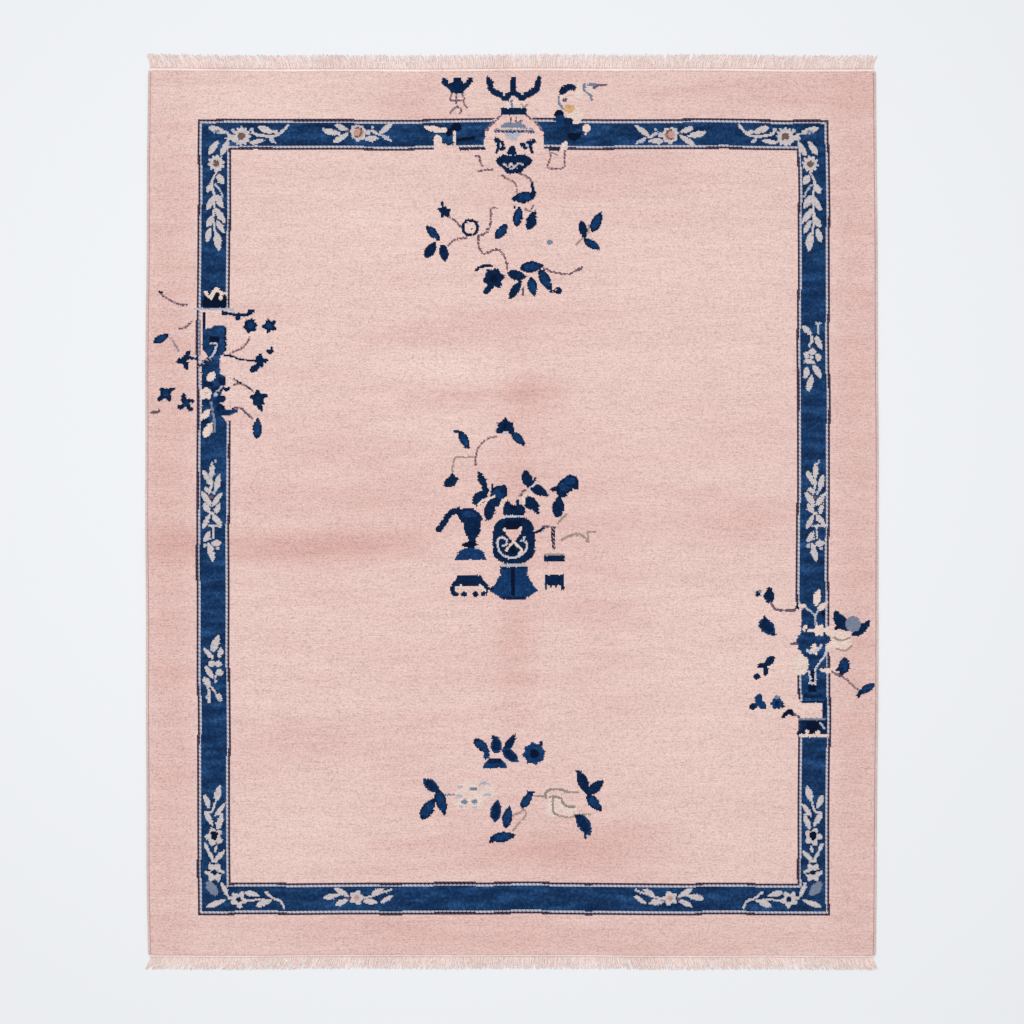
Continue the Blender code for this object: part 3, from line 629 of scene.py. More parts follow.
eastVase = [
    ("box", -15, 53, -9.5, -14.5, "ground"), ("box", -15, -39.5, -9.5, -59, "ground"),
    ("box", -10, -42.5, 12, -57.5, "ground"), ("disc", -10, -4, 8, 11, "cream"),
    ("box", 15.5, 34, 21, 24, "ground"), ("box", 15.5, 17.5, 21, 9, "ground"),
    ("box", 16, -7.5, 21, -12, "ground"), ("flower", 1, 17, 15, 9, 0.16, 0, "blue"),
    ("disc", 8, 21, 12, 6, "blue"), ("disc", -7, 20, 7, 8, "blue"),
    ("stem", "stem", 2.4, 0, ((-19, 16.5), (-13, 17))), ("disc", -53, 66.5, 2.9, 2.7, "navy"),
    ("disc", -50.5, 69, 1.4, 1.4, "greyBlue"), ("leaf", -41.5, 65, 16.5, 9.5, 86, "navy"),
    ("box", -44, 72, -38.5, 68, "navy"),
    ("stem", "stem", 2, 0, ((-40, 58), (-35, 51), (-26, 50.2), (-17, 50.2), (-13, 54))),
    ("disc", -13, 53.5, 2, 2.2, "inky"), ("leaf", 6.5, 63, 18, 7.5, 78, "cream"),
    ("disc", -8.5, 54.5, 4.4, 2.2, "cream"), ("stem", "paleBlue", 1.5, 0, ((-5, 53), (0, 49), (3.5, 46))),
    ("leaf", 11.5, 54, 13, 6, 40, "cream"), ("stem", "paleBlue", 1.6, 0, ((8, 51), (5, 45), (4.5, 37))),
    ("leaf", 12, 47, 6, 4, -60, "inky"), ("leaf", -5.5, 33, 8, 4, 60, "cream"),
    ("flower", 8.5, 30.2, 6.6, 6, 0.3, 0, "cream", 1.5, "rosy"),
    ("stem", "cream", 3, 0, ((-2, 30), (16, 30.5))), ("flower", 3, 11.5, 6.4, 5, 0.45, 10, "cream"),
    ("stem", "white", 2.4, 0, ((-3, 10), (2, 8), (8, 12), (11, 15))), ("disc", -0.5, 13, 2, 1.6, "blue"),
    ("disc", 18, 14.5, 3.4, 3, "cream"), ("stem", "white", 1.5, 0, ((-2, -11), (-0.5, -17), (0, -23))),
    ("stem", "white", 1.7, 0, ((4, -23), (4.3, -14), (5, -8), (9.5, -1), (15, 6), (17, 10))),
    ("box", 1, -11, 3.2, -22, "inky"), ("box", -2, -22, 6, -23.6, "white"),
    ("box", -2, -24.5, 6, -31.5, "inky"), ("stem", "navy", 2.6, 0, ((-6, -35), (3, -36.5), (10, -34.5))),
    ("disc", -7, -28, 2.4, 4, "midBlue"), ("stem", "inky", 1.6, 0, ((-9, -41), (12, -41))),
    ("box", 12.5, -40, 16, -54, "navy"), ("stem", "greyBlue", 2, 0, ((-11, -58.5), (15, -58.5))),
    ("box", -10, -60, 16.5, -73, "navy"),
    ("turned", 2, "inky", ((-60.5, 6), (-66, 6.5), (-71, 3.5), (-73.5, 3))),
    ("stem", "navy", 3, 0, ((-12.5, -73), (-7, -71))), ("disc", -3.5, -72, 2.4, 3, "ground"),
    ("disc", 7, -72.2, 2.4, 3, "ground"), ("stem", "paleBlue", 1.6, 0, ((9.5, -62), (14, -68))),
    ("box", -11, -73.8, 17, -76.6, "cream"),
    # leaves and scrolls in the margin
    ("disc", 31, 19, 10, 10, "cream"), ("disc", 24, 28, 5, 4, "cream"),
    ("leaf", 31, 38, 23, 11, -48, "navy"), ("leaf", 26, 46, 9, 5, -70, "navy"),
    ("leaf", 50, 31.5, 22, 9, 36, "navy"), ("leaf", 56, 36, 10, 5, 70, "navy"),
    ("disc", 42, 36.5, 7.6, 7.8, "greyBlue"), ("disc", 25.6, 32.4, 1.8, 1.8, "inky"),
    ("stem", "greyGreen", 1.2, 1, ((23, 23), (31, 20), (39, 23))),
    ("stem", "greyGreen", 1.2, 1, ((26, 12), (34, 10), (41, 15))),
    ("stem", "cream", 3.6, 0, ((11, -9), (19, -10.5), (26, -8))),
    ("leaf", 33, -5, 18, 10, 82, "navy", "midBlue"), ("leaf", 29, -8.5, 9, 4, 15, "navy"),
    ("leaf", 29.5, -14.5, 8, 4, -20, "navy"),
    ("stem", "stem", 1.7, 1, ((21, -11), (26, -14), (32, -16), (38, -21), (43, -26), (47, -29))),
    ("leaf", 56.5, -27.5, 21, 7, 28, "navy", "midBlue"), ("leaf", 48.5, -33, 9, 4, 75, "navy"),
    # leaves and flowers in the field
    ("leaf", -43, 33, 21, 12, -46, "midBlue", "navy"), ("leaf", -45.5, 40, 9, 5, 88, "navy"),
    ("disc", -36, 26, 2.4, 2, "navy"), ("disc", -50, 34.5, 2.6, 2, "navy"),
    ("leaf", -40.5, 0, 13, 7, 48, "navy"), ("leaf", -49, -5, 10, 5, 10, "navy"),
    ("leaf", -45, -10, 12, 5, 88, "navy"), ("disc", -38, 2.5, 2.6, 2.4, "navy"),
    ("disc", -54, -16, 3.4, 3.2, "navy"), ("leaf", -52, -38, 11, 7, 70, "midBlue"),
    ("leaf", -57, -45.5, 10, 6, 20, "navy"), ("leaf", -48, -45, 10, 7, -40, "midBlue"),
    ("disc", -52, -42.5, 3.4, 3.4, "midBlue"),
    ("flower", -34, -43, 6.6, 6, 0.25, 0, "midBlue", 2.4, "navy"),
    ("disc", -33.5, -36.5, 2.8, 1.8, "greyBlue"), ("disc", -28, -46, 2.2, 1.6, "navy"),
    ("leaf", -25, -53.5, 11, 4, 45, "inky"), ("leaf", -19.5, -52, 11, 5, -38, "inky"),
    ("stem", "stem", 2.2, 0, ((-16, -53.5), (-11.5, -56.5)))]

middleVase = [
    ("flower", -5.5, 112.5, 8.6, 5, 0.3, 18, "navy", 3, "inky"), ("leaf", -11, 109, 9, 6, 40, "navy"),
    ("leaf", 0, 109, 12, 7, -60, "navy"), ("disc", -5, 106, 3, 2, "white"),
    ("leaf", 7.5, 100, 19, 7.5, -42, "navy", "midBlue"),
    ("stem", "stem", 1.6, 1, ((-14, 102.5), (-21, 101), (-28, 97), (-33, 90), (-35, 82), (-35, 74))),
    ("leaf", -46.5, 99.5, 21, 8, -62, "navy", "midBlue"),
    ("stem", "navy", 2.6, 0, ((-56.5, 108.5), (-50, 107))),
    ("stem", "greyGreen", 1.4, 1, ((-36, 83), (-44, 82), (-55, 82), (-57.5, 75), (-58.5, 68))),
    ("leaf", -59.5, 58, 17, 8.5, 28, "navy"), ("leaf", -58, 62, 9, 5, -80, "navy"),
    ("leaf", -28.5, 59, 19, 7, -64, "navy"), ("leaf", -30, 42, 21, 11, 42, "navy"),
    ("leaf", -25, 50, 9, 4.5, -30, "navy"), ("leaf", -11.5, 45.5, 20, 15, 52, "navy", "midBlue"),
    ("box", -19, 55, -17, 47, "navy"), ("leaf", -7, 50, 10, 7, 80, "navy"),
    ("leaf", -20.5, 30, 23, 10, 80, "navy"), ("leaf", -14, 37, 12, 8, -40, "navy"),
    ("stem", "cream", 1.8, 0, ((-32, 35), (-27, 39), (-22, 40.5), (-16, 43))),
    ("stem", "cream", 2.4, 1, ((-10, 33), (-8, 38), (-4, 41))), ("leaf", 16.5, 59, 20, 9.5, -74, "navy"),
    ("stem", "navy", 1.6, 0, ((24.5, 61), (22, 56))), ("leaf", 28, 48.5, 22, 9, -30, "navy"),
    ("leaf", 21, 35, 19, 11, -35, "navy"), ("leaf", 26, 28, 9, 5, -50, "navy"),
    ("stem", "stem", 1.6, 0, ((10, 43), (11.5, 47), (15, 49))),
    ("stem", "cream", 2.8, 0, ((13, 36), (13.5, 43), (21, 44))),
    ("stem", "white", 1.6, 0, ((18, 50), (25, 55.5))), ("leaf", 56, 54, 26, 13, 36, "navy", "midBlue"),
    ("leaf", 60, 58, 16, 11, 0, "navy", "midBlue"), ("disc", 65, 53, 3, 4, "navy"),
    ("leaf", 44, 50, 9, 4, 10, "navy"), ("leaf", 51, 45, 12, 6, -20, "navy"),
    ("leaf", 47.5, 32, 22, 11, 86, "navy"), ("disc", 52.5, 40.2, 1.7, 1.7, "white"),
    ("stem", "greyGreen", 1.6, 1, ((56, 24.5), (51, 20), (47, 15))),
    ("stem", "navy", 2.4, 0, ((24, 6), (31, 9), (34, 12))),
    ("stem", "stem", 1.6, 0, ((33, 12.3), (45, 11.8))),
    ("stem", "navy", 3, 1, ((42.5, 11), (42.5, 2), (43.5, -9))),
    ("stem", "greyGreen", 2.2, 1, ((51, -1), (58, 2.5), (66, 5), (74, 2), (77, -3))),
    ("stem", "greyGreen", 2, 1, ((78, -1), (77.5, 7), (84.5, 7.2))),
    # mouth, collar and body of the vase
    ("turned", 3.5, "navy", ((32, 10.5), (27, 11), (23.5, 10))), ("leaf", -3, 33, 13, 6.5, 88, "navy"),
    ("box", 6, 39, 8.5, 30, "navy"), ("leaf", 10, 31, 8, 6, 70, "navy"), ("disc", 2.8, 32, 3, 3, "inky"),
    ("stem", "white", 1.6, 0, ((-6, 22.2), (12, 22.2))),
    ("turned", 3.5, "navy", ((21, 11), (19, 15), (16, 18), (12, 20), (6, 20.7), (-14, 20.7), (-18, 19),
        (-21, 15), (-24, 10))), ("turned", 2.5, "inky", ((18.5, 8), (10.5, 8.5), (9, 6))),
    ("turned", 3, "ground", ((9, 8), (5, 7), (1, 4), (-3, 1))), ("disc", -5.5, 9.5, 1.6, 2.4, "cream"),
    ("disc", 10.5, 10.5, 1.6, 2.4, "cream"), ("stem", "cream", 2.2, 0, ((3, -3), (-1, -7), (-4, -11))),
    ("stem", "cream", 2.2, 0, ((3, -3), (8, -7), (11.5, -11), (9, -15))),
    ("stem", "white", 1.7, 0, ((-3, -1), (-8, 2), (-12.5, -1), (-12.5, -7), (-10, -13), (-5, -17),
        (2, -18.5), (9, -17), (15, -12), (17, -6), (15, -3))),
    ("stem", "white", 1.6, 0, ((-3, -1), (-4, -5), (-8, -7))),
    ("stem", "white", 1.6, 0, ((11, -2), (14, -0.5), (13, 2.5))), ("disc", 2.5, -10.5, 3.6, 3.6, "inky"),
    ("stem", "paleBlue", 2.2, 1, ((-8, -25.8), (16, -26.2))),
    # the vase's own stand
    ("turned", 3.5, "midBlue", ((-28, 13.5), (-36, 14), (-42, 17), (-46, 19.5), (-49, 22.5), (-51.5, 24.5),
        (-54, 20), (-57, 16), (-60, 12))), ("stem", "inky", 3, 0, ((2.5, -30), (2.8, -55))),
    ("stem", "navy", 2, 0, ((-9.5, -28.8), (16.5, -28.8))), ("stem", "navy", 2, 0, ((-8, -59), (14, -59))),
    # plant on a pedestal
    ("stem", "navy", 6.2, 0, ((-71, 10.5), (-65, 19), (-59, 27), (-52, 29))),
    ("leaf", -40, 23, 26, 15, -12, "navy", "midBlue"),
    ("turned", -38, "navy", ((22, 9), (16, 8.5), (10, 8), (4, 6), (0, 3.4), (-9, 3))),
    ("disc", -33, 9, 3.4, 3.4, "navy"), ("leaf", -40, -5, 17, 5.4, 0, "inky"),
    ("turned", -39.5, "midBlue", ((-9, 7), (-11, 11), (-13, 13), (-16, 14), (-20.5, 16.2))),
    ("disc", -40, -21, 2, 2, "ground"), ("stem", "paleBlue", 1.4, 1, ((-34, -9), (-31, -8.5))),
    # low burner with scrolled legs
    ("turned", -41, "navy", ((-36, 12), (-40, 13.5), (-43, 15.5), (-46.5, 17.5))),
    ("stem", "navy", 4, 0, ((-55, -43), (-58, -48), (-57, -53), (-54, -54.5))),
    ("stem", "navy", 4, 0, ((-27, -43), (-24, -48), (-25, -53), (-27.5, -54.5))),
    ("stem", "cream", 2.2, 0, ((-54, -50.5), (-49.5, -46))),
    ("stem", "cream", 2.2, 0, ((-30.5, -46), (-25.5, -50.5))), ("leaf", -46, -54.5, 7, 5, 8, "navy"),
    ("leaf", -34.5, -54.5, 7, 5, -8, "navy"), ("stem", "navy", 2.4, 0, ((-23, -49), (-18, -49))),
    ("disc", -41, -48.4, 9, 1.6, "ground"),
    # tray and comb stand
    ("box", 34, -17, 54.5, -22.5, "navy"), ("stem", "greyGreen", 1.4, 1, ((35, -15.4), (53, -15.4))),
    ("box", 35, -36, 53.5, -46, "navy"), ("box", 35, -46, 37, -50, "navy"),
    ("box", 39.6, -46, 42, -48.5, "navy"), ("box", 44.6, -46, 47, -48.5, "navy"),
    ("box", 50.8, -46, 53.5, -50, "navy")]

southSprays = [
    ("turned", -15.4, "midBlue", ((31.3, 5), (29.5, 8), (27, 10), (24, 12), (21.8, 12.4))),
    ("turned", -15.4, "navy", ((31.3, 5), (29, 7), (27, 6))),
    ("leaf", -28.5, 44, 20, 9, -40, "navy", "midBlue"), ("leaf", -23.5, 35, 11, 5, 82, "midBlue"),
    ("leaf", -14, 45, 18, 10, 90, "midBlue", "navy"), ("box", -18, 54, -15, 51, "navy"),
    ("leaf", 0, 47, 22, 7, 58, "navy"), ("leaf", 0.5, 34, 21, 9.5, -40, "midBlue", "navy"),
    ("disc", -3.5, 28, 2, 2, "white"), ("flower", 24, 36, 11.6, 8, 0.14, 10, "midBlue", 4.6, "inky"),
    ("disc", 31, 46.5, 2, 2, "navy"), ("leaf", -79, 4, 21, 10, -40, "midBlue", "navy"),
    ("leaf", -69.5, -12, 29, 9.5, -74, "navy", "midBlue"),
    ("leaf", -82.5, -19, 25, 11, 58, "navy", "midBlue"),
    ("stem", "greyBlue", 1.4, 0, ((-65, -5), (-55, -5))), ("disc", -40, 2, 9, 6.4, "cream"),
    ("disc", -22, 0, 6.4, 7.6, "cream"), ("disc", -51, -13, 6, 4.4, "cream"),
    ("disc", -36, -12.5, 9, 5, "cream"), ("disc", -30, -6, 7, 5, "cream"), ("disc", -51, -3, 5, 4, "cream"),
    ("disc", -50.5, 3, 3, 1.8, "paleBlue"), ("disc", -37, 1, 3.6, 2, "greyBlue"),
    ("disc", -26, 6.5, 5, 1.6, "paleBlue"), ("disc", -23, -5, 4, 2, "paleBlue"),
    ("disc", -51, -6, 3.4, 1.8, "paleBlue"), ("disc", -46, -12, 3.4, 2.4, "greyBlue"),
    ("disc", -36, -11.5, 3, 2.6, "greyBlue"), ("disc", -49, -17, 2, 1.2, "paleBlue"),
    ("disc", -36, -17.5, 3, 1.2, "paleBlue"), ("leaf", -14.5, -21, 23, 10, 82, "midBlue", "navy"),
    ("leaf", -3, -27, 23, 9, 80, "navy", "midBlue"), ("leaf", -7.5, -47, 26, 9, 8, "navy", "midBlue"),
    ("disc", -19, -51.5, 2.4, 1.8, "navy"), ("leaf", 16.5, -10, 20, 8, 56, "navy", "midBlue"),
    ("stem", "navy", 2, 0, ((18, -2.5), (23.5, -2.5))),
    ("stem", "greyGreen", 1.3, 1, ((2, -25.5), (7, -24), (11, -21.5), (12, -18))),
    ("stem", "greyGreen", 1.6, 1, ((12, -19), (15.5, -24), (12, -30), (7, -35), (2.5, -41))),
    ("stem", "greyGreen", 1.2, 1, ((24, -6), (36, -7))), ("disc", 46, -14, 9.5, 9, "cream"),
    ("disc", 59, -21, 8, 5, "cream"), ("disc", 42, -22, 7, 5, "cream"),
    ("stem", "greyGreen", 2.2, 0, ((36, -8), (35, -3.5), (41, 0.5), (50, 0), (59, -2.5), (67, -2.5))),
    ("stem", "greyGreen", 2.2, 0, ((39, -7.5), (46, -7.3), (51, -9.5), (52.5, -13.5), (57, -16.5),
        (64, -17.3))), ("stem", "greyGreen", 2, 0, ((42.5, -8.5), (42.3, -16), (43, -22), (47, -25))),
    ("stem", "greyGreen", 1.4, 1, ((48, -26), (58, -27.5), (68, -25.5), (80, -24))),
    ("leaf", 73, 7, 26, 9.5, -68, "navy"), ("stem", "navy", 2.2, 0, ((66.5, 18.5), (70, 16))),
    ("leaf", 86, 3, 21, 9, 42, "navy"), ("leaf", 84, -13, 22, 9.5, -48, "navy", "midBlue"),
    ("leaf", 74, -35, 25, 11.5, -60, "midBlue", "navy"), ("stem", "navy", 2, 0, ((75, -43), (75, -48))),
    ("leaf", 69, -28, 10, 6, -40, "navy")]

motifPlaces = [   # rows, middle from the pile's middle, 1 or -1 for mirrored
    (cornerSprayNorth, (-311.6, 393.5), 1), (cornerSprayNorth, (315.1, 393.5), -1),
    (cornerSpraySouth, (-311.6, -396.5), 1), (cornerSpraySouth, (315.1, -396.5), -1),
    (endSprayNorth, (-151.6, 383.5), 1), (endSprayNorth, (156.4, 380.5), -1),
    (endSpraySouth, (-151.6, -386.5), 1), (endSpraySouth, (154.4, -386.5), -1),
    (longSpray, (-301.6, 3.5), 1), (longSpray, (300.4, 3.5), 1),
    (shortSprayWest, (-301.6, -156.5), 1), (shortSprayEast, (298.4, 153.5), 1),
    (northVase, (-1.6, 393.5), 1), (northSprays, (-1.6, 273.5), 1), (westVase, (-301.6, 163.5), 1),
    (eastVase, (298.4, -146.5), 1), (middleVase, (-1.6, -26.5), 1), (southSprays, (-1.6, -276.5), 1)]

for rows, at, flip in motifPlaces:
    paintMotif(rows, at, flip)
print("chart:", chart.shape, "knots,", int((chart > 0).sum()), "in motifs")


# A share of the tufts at each edge of a motif lean over it
tufting = dict(seed=3, loose=0.05)


def spreadKnots():
    # the motifs on the border, with the leaning tufts
    fine = chart
    dice = np.random.default_rng(tufting["seed"])
    for step, axis in ((1, 0), (-1, 0), (1, 1), (-1, 1)):
        moved = np.roll(fine, step, axis=axis)
        leaning = dice.random(fine.shape) < tufting["loose"]
        fine = np.where(leaning & (moved != fine), moved, fine)
    return np.where(fine == bare, chartBorder(), fine)


# Cloudy shades of the ground, mostly the dye's own unevenness, with painted shade along the pile's crease and
# fold: middle, half width and half length in knots, how strong (above 0 redder and darker, below 0 creamier)
clouds = [
    (-99, 418, 32, 28, 0.5), (269, 418, 105, 20, 0.6), (77, 338, 128, 36, 0.25), (-51, 190, 80, 24, 0.35),
    (26, 123, 28, 22, 0.7), (-51, 113, 52, 12, 0.45), (-152, 28, 62, 75, 0.3), (-246, 14, 36, 26, 0.4),
    # the first two rows here darken a band along the low ridge across the pile: painted shade of the fold
    (-258, -33, 115, 17, 1.0), (-140, -33, 60, 14, 0.5), (4, -145, 24, 60, 0.4), (90, -114, 40, 90, 0.3),
    (218, -5, 66, 32, 0.4), (-153, -232, 118, 18, 0.35), (7, -337, 150, 34, 0.45), (-25, -421, 182, 22, 0.4),
    # the second row here runs down the crease in the middle: painted shade of the crease
    (7, 8, 124, 74, 0.35), (4, 0, 18, 205, 0.35), (71, -325, 85, 46, 0.35),
    # the first two rows here make the side margins darker and redder
    (-342, 0, 24, 520, 0.6), (344, 0, 24, 520, 0.6), (0, -420, 420, 18, 0.25),
    (-268, 408, 104, 42, -0.5), (-67, 149, 68, 17, -0.7), (122, 148, 98, 14, -0.5), (-73, 88, 62, 17, -0.4),
    (-156, 288, 116, 76, -0.3), (186, 245, 98, 40, -0.35), (208, -206, 82, 172, -0.3),
    (-211, -325, 60, 46, -0.3)]
clouding = dict(strength=0.55, flatness=2.6, fall=0.9)   # how strongly the clouds show, and their edges


def shadeAt(x, y):
    # the sum of the clouds, each a flat-topped mound, at places in knots
    total = np.zeros_like(x)
    for middleX, middleY, halfX, halfY, strength in clouds:
        reach = (np.abs((x - middleX) / halfX) ** clouding["flatness"]
                 + np.abs((y - middleY) / halfY) ** clouding["flatness"])
        total += clouding["strength"] * strength * np.exp(-clouding["fall"] * reach)
    return total


# The pile: its waves are rows of size, turns over x, turns over y and phase

pile = dict(rim=0.004, corner=0.6, rings=4, foot=0.0015, footInset=0.002, edgeFade=12,
            swells=((0.35, 2.1, 1.3, 0), (0.3, -1.7, 5.3, 1), (0.2, 9, 4, 0)), swellHeight=0.0006,
            driftX=((1, 0, 4.1, 0.4), (0.5, 3, 11, 0)), driftY=((1, 3.7, 0, 1.9), (0.5, 9, 2, 0)),
            drift=0.0010, creaseX=0.004, creaseWidth=0.012, ridgeY=-0.105, ridgeWidth=0.010, ridgeShare=0.6,
            foldHeight=0.0012)


def wavy(waves, x, y):
    # a sum of sines of places on the rug
    return sum(size * np.sin(overX * x + overY * y + phase) for size, overX, overY, phase in waves)


def pilePlace(u, v, inset):
    # a place on the rug, u and v running from 0 to 1 between edges drawn in by inset
    x = (2 * u - 1) * (rug["width"] / 2)
    y = (1 - v) * (endY(-1, x) + inset) + v * (endY(1, x) - inset)
    x = (1 - u) * (pileX(-1, y) + inset) + u * (pileX(1, y) - inset)
    return x, y


def pileRise(x, y):
    # the top stays nearly flat: long low waves, a shallow crease down the middle and a low ridge across
    # it, both bell shaped and coming and going along their lengths
    crease = -np.exp(-((x - pile["creaseX"]) / pile["creaseWidth"]) ** 2) * (0.6 + 0.4 * np.sin(7 * y))
    bell = np.exp(-((y - pile["ridgeY"]) / pile["ridgeWidth"]) ** 2)
    ridge = pile["ridgeShare"] * bell * (0.5 + 0.5 * np.sin(3 * x + 1))
    return pile["swellHeight"] * wavy(pile["swells"], x, y) + pile["foldHeight"] * (crease + ridge)


def buildPile():
    # top grid, rings round the rim and bottom grid, joined as one closed skin
    rim = pile["rim"]
    columns, rows = (chartSize[way] // chartSize["perFace"] for way in ("across", "along"))
    u, v = np.meshgrid(np.linspace(0, 1, columns + 1), np.linspace(0, 1, rows + 1))
    edgeFade = np.clip(np.minimum.reduce([u, 1 - u, v, 1 - v]) * pile["edgeFade"], 0, 1)
    x, y = pilePlace(u, v, rim)
    drift = pile["drift"] * edgeFade
    x = x + drift * wavy(pile["driftX"], x, y)
    y = y + drift * wavy(pile["driftY"], x, y)
    top = np.stack([x, y, rug["pileHeight"] + pileRise(x, y) * edgeFade], axis=-1).reshape(-1, 3)
    number = np.arange(len(top)).reshape(rows + 1, columns + 1)
    loop = edgeLoop(number)
    loopU, loopV = u.reshape(-1)[loop], v.reshape(-1)[loop]
    isCorner = ((loopU == 0) | (loopU == 1)) & ((loopV == 0) | (loopV == 1))
    angles = np.linspace(0, math.pi / 2, pile["rings"] + 1)[1:]
    steps = [(rim * (1 - math.sin(a)), rug["pileHeight"] - rim * (1 - math.cos(a))) for a in angles]
    steps.append((0.0, pile["foot"]))
    rings = []
    for inset, height in steps:
        ringX, ringY = pilePlace(loopU, loopV, inset)
        pulled = np.where(isCorner, (rim - inset) * pile["corner"], 0)
        ringX = ringX + pulled * np.where(loopU < 0.5, 1, -1)
        ringY = ringY + pulled * np.where(loopV < 0.5, 1, -1)
        rings.append(np.stack([ringX, ringY, np.full(len(loop), height)], axis=-1))
    bottomX, bottomY = pilePlace(u, v, pile["footInset"])
    bottom = np.stack([bottomX, bottomY, np.zeros_like(bottomX)], axis=-1).reshape(-1, 3)
    points = np.concatenate([top] + rings + [bottom])
    grid = gridFaces(number)
    loops = [loop] + [len(top) + ring * len(loop) + np.arange(len(loop)) for ring in range(len(steps))]
    lowest = len(top) + len(steps) * len(loop)
    loops.append(lowest + loop)
    around = [wallFaces(near, far) for near, far in zip(loops[:-1], loops[1:])]
    quads = np.concatenate([grid] + around + [grid[:, ::-1] + lowest])
    parts = np.zeros(len(quads), dtype=int)
    parts[-len(grid):] = 1
    made = buildMesh("woolPile", points, quads.tolist(), parts)
    layOutPile(made.data, u, v, loop, len(around), grid)
    return made


# where the top, each ring of the rim and the back lie on the flat bake map, which is one across
bakeMap = dict(margin=0.012, topWidth=0.8, length=0.976, backLeft=0.832, backWidth=0.16, rimStep=0.0018)
weftNames = ("weftA", "weftB", "weftC", "weftD")
toneRoom = 16   # a code holds one tone below this for each of its knots


def layOutPile(mesh, u, v, loop, ringCount, grid):
    # the cell map runs from 0 to 1 over each face; the bake map spreads top, rim and back out flat
    count, faces = len(mesh.polygons), len(grid)
    square = np.array([(0, 0), (1, 0), (1, 1), (0, 1)], dtype=float)
    cell = np.tile(square, (count, 1, 1))
    cell[-faces:] = square[::-1]
    flatU, flatV = u.reshape(-1), v.reshape(-1)

    def bakePlace(left, width, places):
        up = bakeMap["margin"] + bakeMap["length"] * flatV[places]
        return np.stack([left + width * flatU[places], up], axis=-1)

    outward = np.stack([(flatU[loop] == 1).astype(float) - (flatU[loop] == 0),
                        (flatV[loop] == 1).astype(float) - (flatV[loop] == 0)], axis=-1)
    edge = bakePlace(bakeMap["margin"], bakeMap["topWidth"], loop)
    bands = []
    for ring in range(ringCount):
        near, far = (edge + bakeMap["rimStep"] * out * outward for out in (ring, ring + 1))
        bands.append(np.stack([near, far, np.roll(far, -1, axis=0), np.roll(near, -1, axis=0)], axis=1))
    bakeTop = bakePlace(bakeMap["margin"], bakeMap["topWidth"], grid)
    bakeBack = bakePlace(bakeMap["backLeft"], bakeMap["backWidth"], grid[:, ::-1])
    bake = np.concatenate([bakeTop] + bands + [bakeBack])
    for name, values in (("knotCell", cell), ("OFBake", bake)):
        layer = mesh.uv_layers.new(name=name)
        layer.data.foreach_set("uv", values.reshape(-1).astype(np.float32))
    mesh.uv_layers["knotCell"].active_render = True
    fine = spreadKnots()
    along, across = fine.shape
    side = chartSize["perFace"]
    cells = fine.reshape(along // side, side, across // side, side)
    codes = (cells * toneRoom ** np.arange(side)).sum(axis=3)   # one code for each row of a face
    for row, name in enumerate(weftNames):
        values = np.zeros(count, dtype=np.float32)
        values[:faces] = codes[:, row].reshape(-1)
        values[-faces:] = codes[:, row].reshape(-1)
        mesh.attributes.new(name, "FLOAT", "FACE").data.foreach_set("value", values)
    # the clouds at every point: the dye's unevenness, with painted shade along the crease and the fold
    shade = shadeAt((flatU - 0.5) * across, (flatV - 0.5) * along)
    ringShade = np.tile(shade[loop], ringCount - 1)
    values = np.concatenate([shade, ringShade, shade]).astype(np.float32)
    mesh.attributes.new("dyeAndFoldShade", "FLOAT", "POINT").data.foreach_set("value", values)


def knotChartGroup():
    # reads the four codes of a face, picks the tone of the knot at each place, and marks ground,
    # band and the four dark tones, blue to midBlue
    tree, _, out = newGroup("knotChart", {}, {"Color": "NodeSocketColor", "Ground": "NodeSocketFloat",
                                              "Band": "NodeSocketFloat", "Dark": "NodeSocketFloat"})
    side, room = float(chartSize["perFace"]), float(toneRoom)
    cell = addNode(tree, "ShaderNodeUVMap", uv_map="knotCell").outputs[0]
    across, along = addNode(tree, "ShaderNodeSeparateXYZ", {0: cell}).outputs[:2]
    weft = calculate(tree, "MULTIPLY", along, side)
    codes = [addNode(tree, "ShaderNodeAttribute", attribute_name=name).outputs["Fac"] for name in weftNames]
    code = codes[0]
    for row in range(1, len(codes)):
        past = calculate(tree, "GREATER_THAN", weft, float(row))
        change = calculate(tree, "SUBTRACT", codes[row], codes[row - 1])
        code = calculate(tree, "ADD", code, calculate(tree, "MULTIPLY", past, change))
    warp = calculate(tree, "FLOOR", calculate(tree, "MULTIPLY", across, side), 0.0)
    warp = calculate(tree, "MINIMUM", warp, side - 1)
    size = calculate(tree, "POWER", room, warp)
    shifted = calculate(tree, "DIVIDE", calculate(tree, "ADD", code, 0.5), size)
    digit = calculate(tree, "FLOOR", calculate(tree, "MODULO", shifted, room), 0.0)
    place = calculate(tree, "DIVIDE", calculate(tree, "ADD", digit, 0.5), room)
    stops = [(number / toneRoom, linear(colour)) for number, colour in enumerate(tones.values())]
    darkest = (toneNumber["blue"], toneNumber["midBlue"])
    middle, reach = sum(darkest) / 2, (darkest[1] - darkest[0]) / 2 + 0.25
    tree.links.new(ramp(tree, place, stops, "CONSTANT"), out["Color"])
    tree.links.new(calculate(tree, "LESS_THAN", digit, 0.5), out["Ground"])
    tree.links.new(compare(tree, digit, float(toneNumber["blue"]), 0.25), out["Band"])
    tree.links.new(compare(tree, digit, middle, reach), out["Dark"])
    return tree


grainPlan = dict(tufts=320.0, tuftShare=0.6, fibres=900.0, fibreShare=0.2, lift=0.04,
                 rows=(80.0, 330.0, 60.0), lines=(13.0, 250.0, 60.0), lineShare=0.22,
                 knots=(150.0, 185.0, 60.0), knotShadeShare=0.22)


